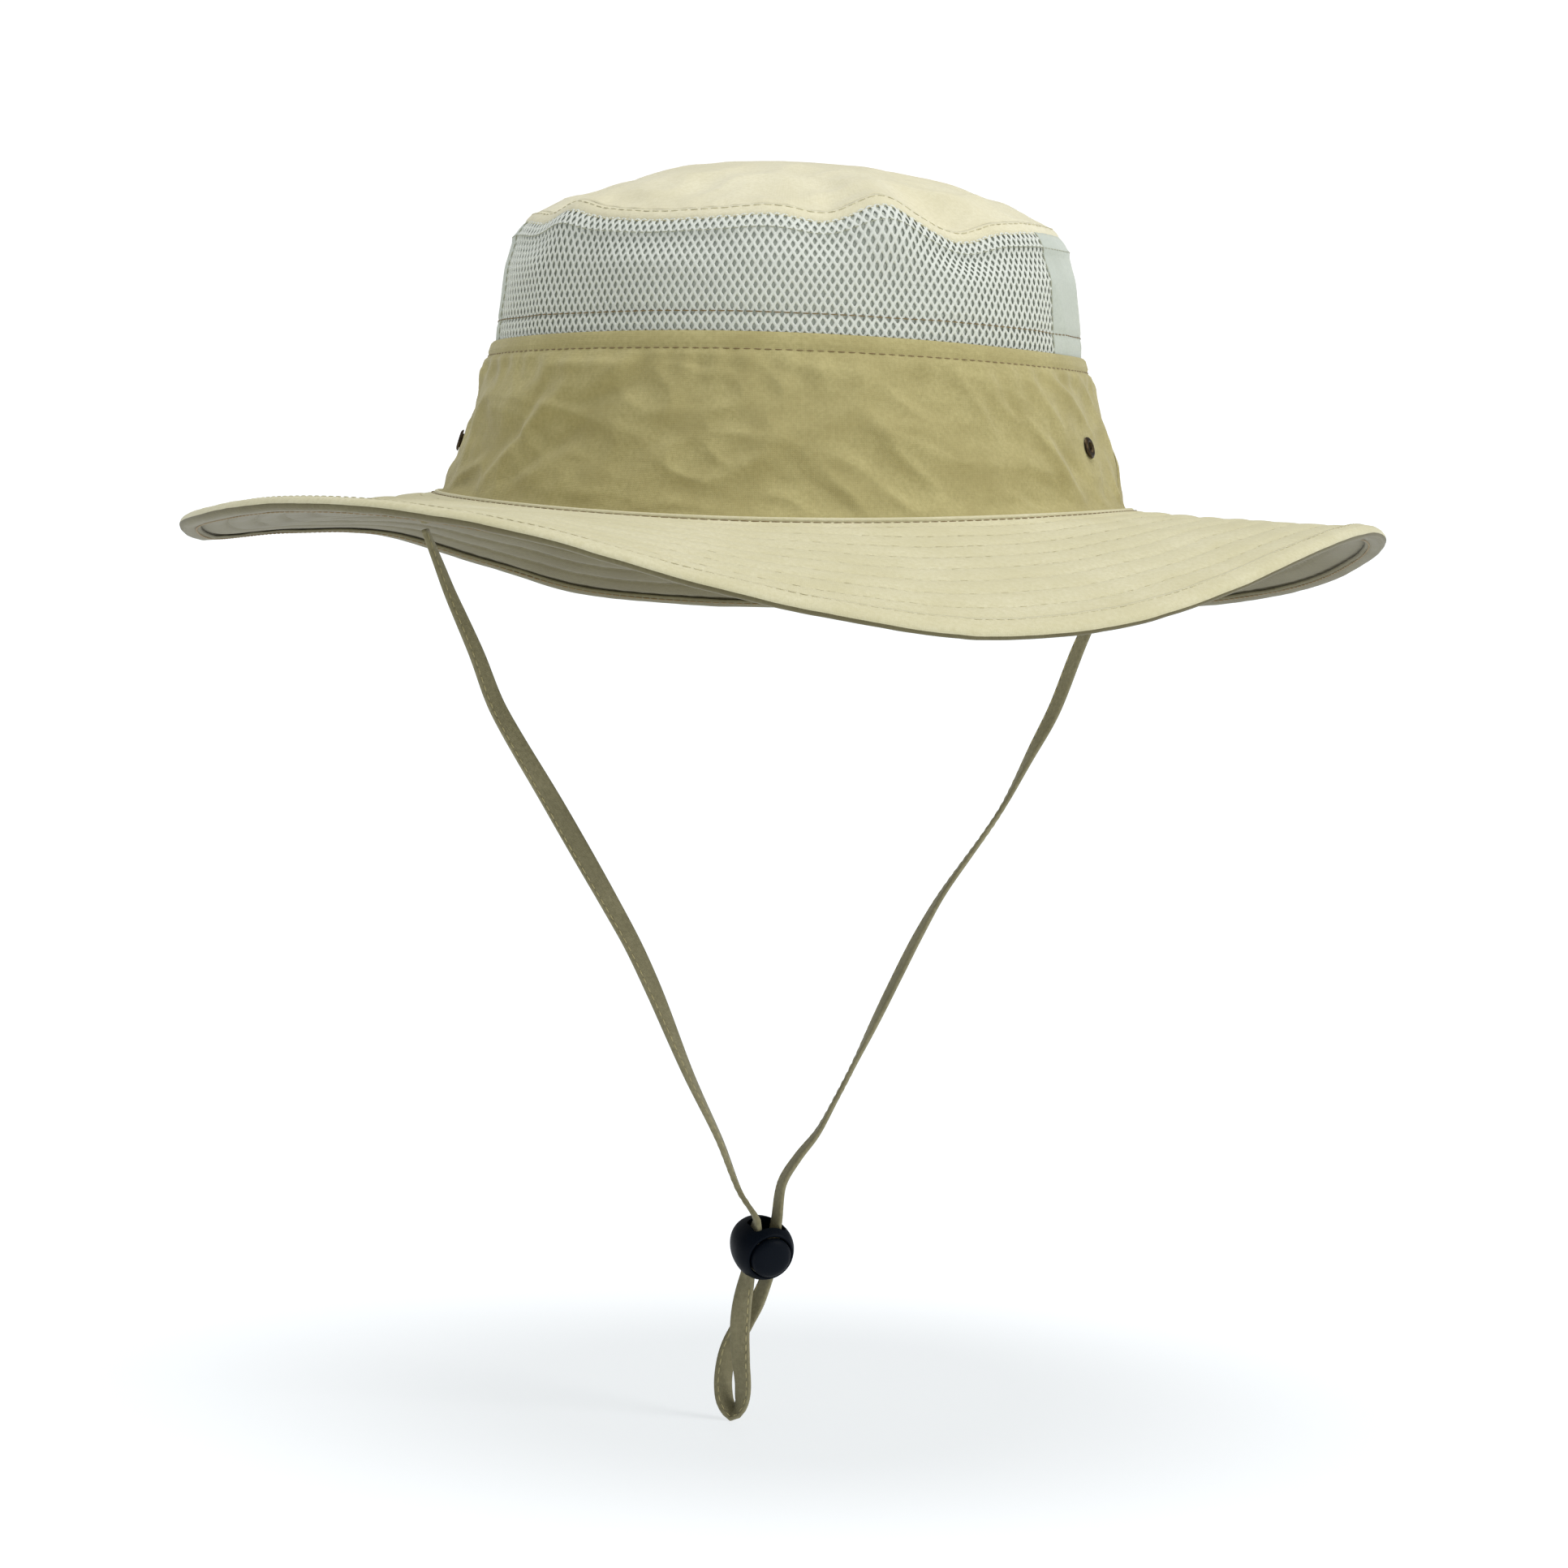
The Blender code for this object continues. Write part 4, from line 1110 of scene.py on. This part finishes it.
# %% Cord lock
SHELL_BALL = [(7.3, 6.1), (8.5, 3.8), (9.0, 1.0), (8.6, -3.0), (7.5, -6.5), (6.0, -9.2), (3.6, -10.9),
              (0.4, -11.3)]
ball = [(point.x, point.z) for point in smooth_line([Vector((r, 0.0, h)) for r, h in SHELL_BALL], 0.8)]
SHELL = [(0.0, -9.6), (5.2, -9.6), (5.2, -7.4), (6.4, -7.4), (6.4, 6.0), (6.5, 6.2), (6.8, 6.35),
         (7.1, 6.3)] + ball + [(0.0, -11.3)]
BUTTON = [(0.0, 8.8), (2.0, 8.75), (3.6, 8.6), (4.6, 8.35), (5.3, 8.0), (5.8, 7.6), (6.05, 7.1), (6.1, 6.5),
          (6.1, -4.4), (5.9, -4.6), (0.0, -4.6)]
for title, node, shape, span, body in (
        ("cord_lock_shell", "cord_lock_body", SHELL, (-3.3, 4.0), "lock"),
        ("cord_lock_plunger", "cord_lock_button", BUTTON, (-3.3, 6.2), "button")):
    part = join_skins(title, [spun(shape, 72, lock)], NAVY_NYLON, closed_outline=False)
    bpy.ops.mesh.primitive_cube_add(size=1.0)
    slot_block = bpy.context.object
    slot_block.data.transform(Matrix.Diagonal((10.2 * MM, 30.0 * MM, (span[1] - span[0]) * MM, 1.0)))
    slot_block.data.transform(Matrix.Translation((0.0, 0.0, sum(span) / 2.0 * MM)))
    corners = slot_block.modifiers.new("round corners", "BEVEL")
    corners.width, corners.segments = 1.5 * MM, 5
    slot_block.matrix_world = in_metres(lock)
    way = part.modifiers.new("strap way", "BOOLEAN")
    way.object, way.solver = slot_block, "EXACT"
    baked(part)
    bpy.data.objects.remove(slot_block)
    part.data.shade_smooth()
    part.data.set_sharp_from_angle(angle=math.radians(40))
    put_in(part, body, "navy_plastic", node)

# %% [markdown]
# ## Strap ends
#
# Each end of the strap is folded double and held under the brim by a block of close stitches, so
# it is a short stub: the strip's own outline, a little thicker, with a bar of thread across it.

# %% Stubs and bars of thread
STUB_SIDE, STUB_TOP, STUB_BOTTOM = 102.9, -2.3, -8.2
stub_outline = [(-2.6, 0.8), (-1.2, 0.84), (0.0, 0.85), (1.2, 0.84), (2.6, 0.8), (2.95, 0.5), (3.0, 0.0),
                (2.95, -0.5), (2.6, -0.8), (1.2, -0.84), (0.0, -0.85), (-1.2, -0.84), (-2.6, -0.8),
                (-2.95, -0.5), (-3.0, 0.0), (-2.95, 0.5)]
for title, node, side in (("strap_stub_left", "strap_end_left", 1.0),
                          ("strap_stub_right", "strap_end_right", -1.0)):
    levels = [(STUB_TOP, 0.9), (STUB_TOP - 0.3, 1.0), (-4.0, 1.0), (-5.4, 0.97), (-6.8, 1.0),
              (STUB_BOTTOM + 0.3, 1.0), (STUB_BOTTOM, 0.9)]
    rows = np.array([[(side * STUB_SIDE + y * swell, STRAP_PLANE + x * swell, level) for x, y in stub_outline]
                     for level, swell in levels])
    closing = [rows[:1].mean(axis=1, keepdims=True).repeat(len(stub_outline), axis=1), rows,
               rows[-1:].mean(axis=1, keepdims=True).repeat(len(stub_outline), axis=1)]
    stub = join_skins(title, [np.concatenate(closing)], STRAP_NYLON, closed_outline=False)
    put_in(stub, "hat", "strap_cloth", node)
bars = [[(side * STUB_SIDE + face, STRAP_PLANE + x, level) for x in np.linspace(-2.6, 2.6, 14)]
        for side in (1.0, -1.0) for face in (0.86, -0.86) for level in (-3.4, -4.1, -6.4, -7.1)]
sew("stitches_strap_ends", bars, 1.1, 0.2, 1.0, BROWN_THREAD, "hat")

# %% The spring, kept from the frame
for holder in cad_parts["cord_lock_spring"].material_slots:
    holder.material = SPRING_STEEL
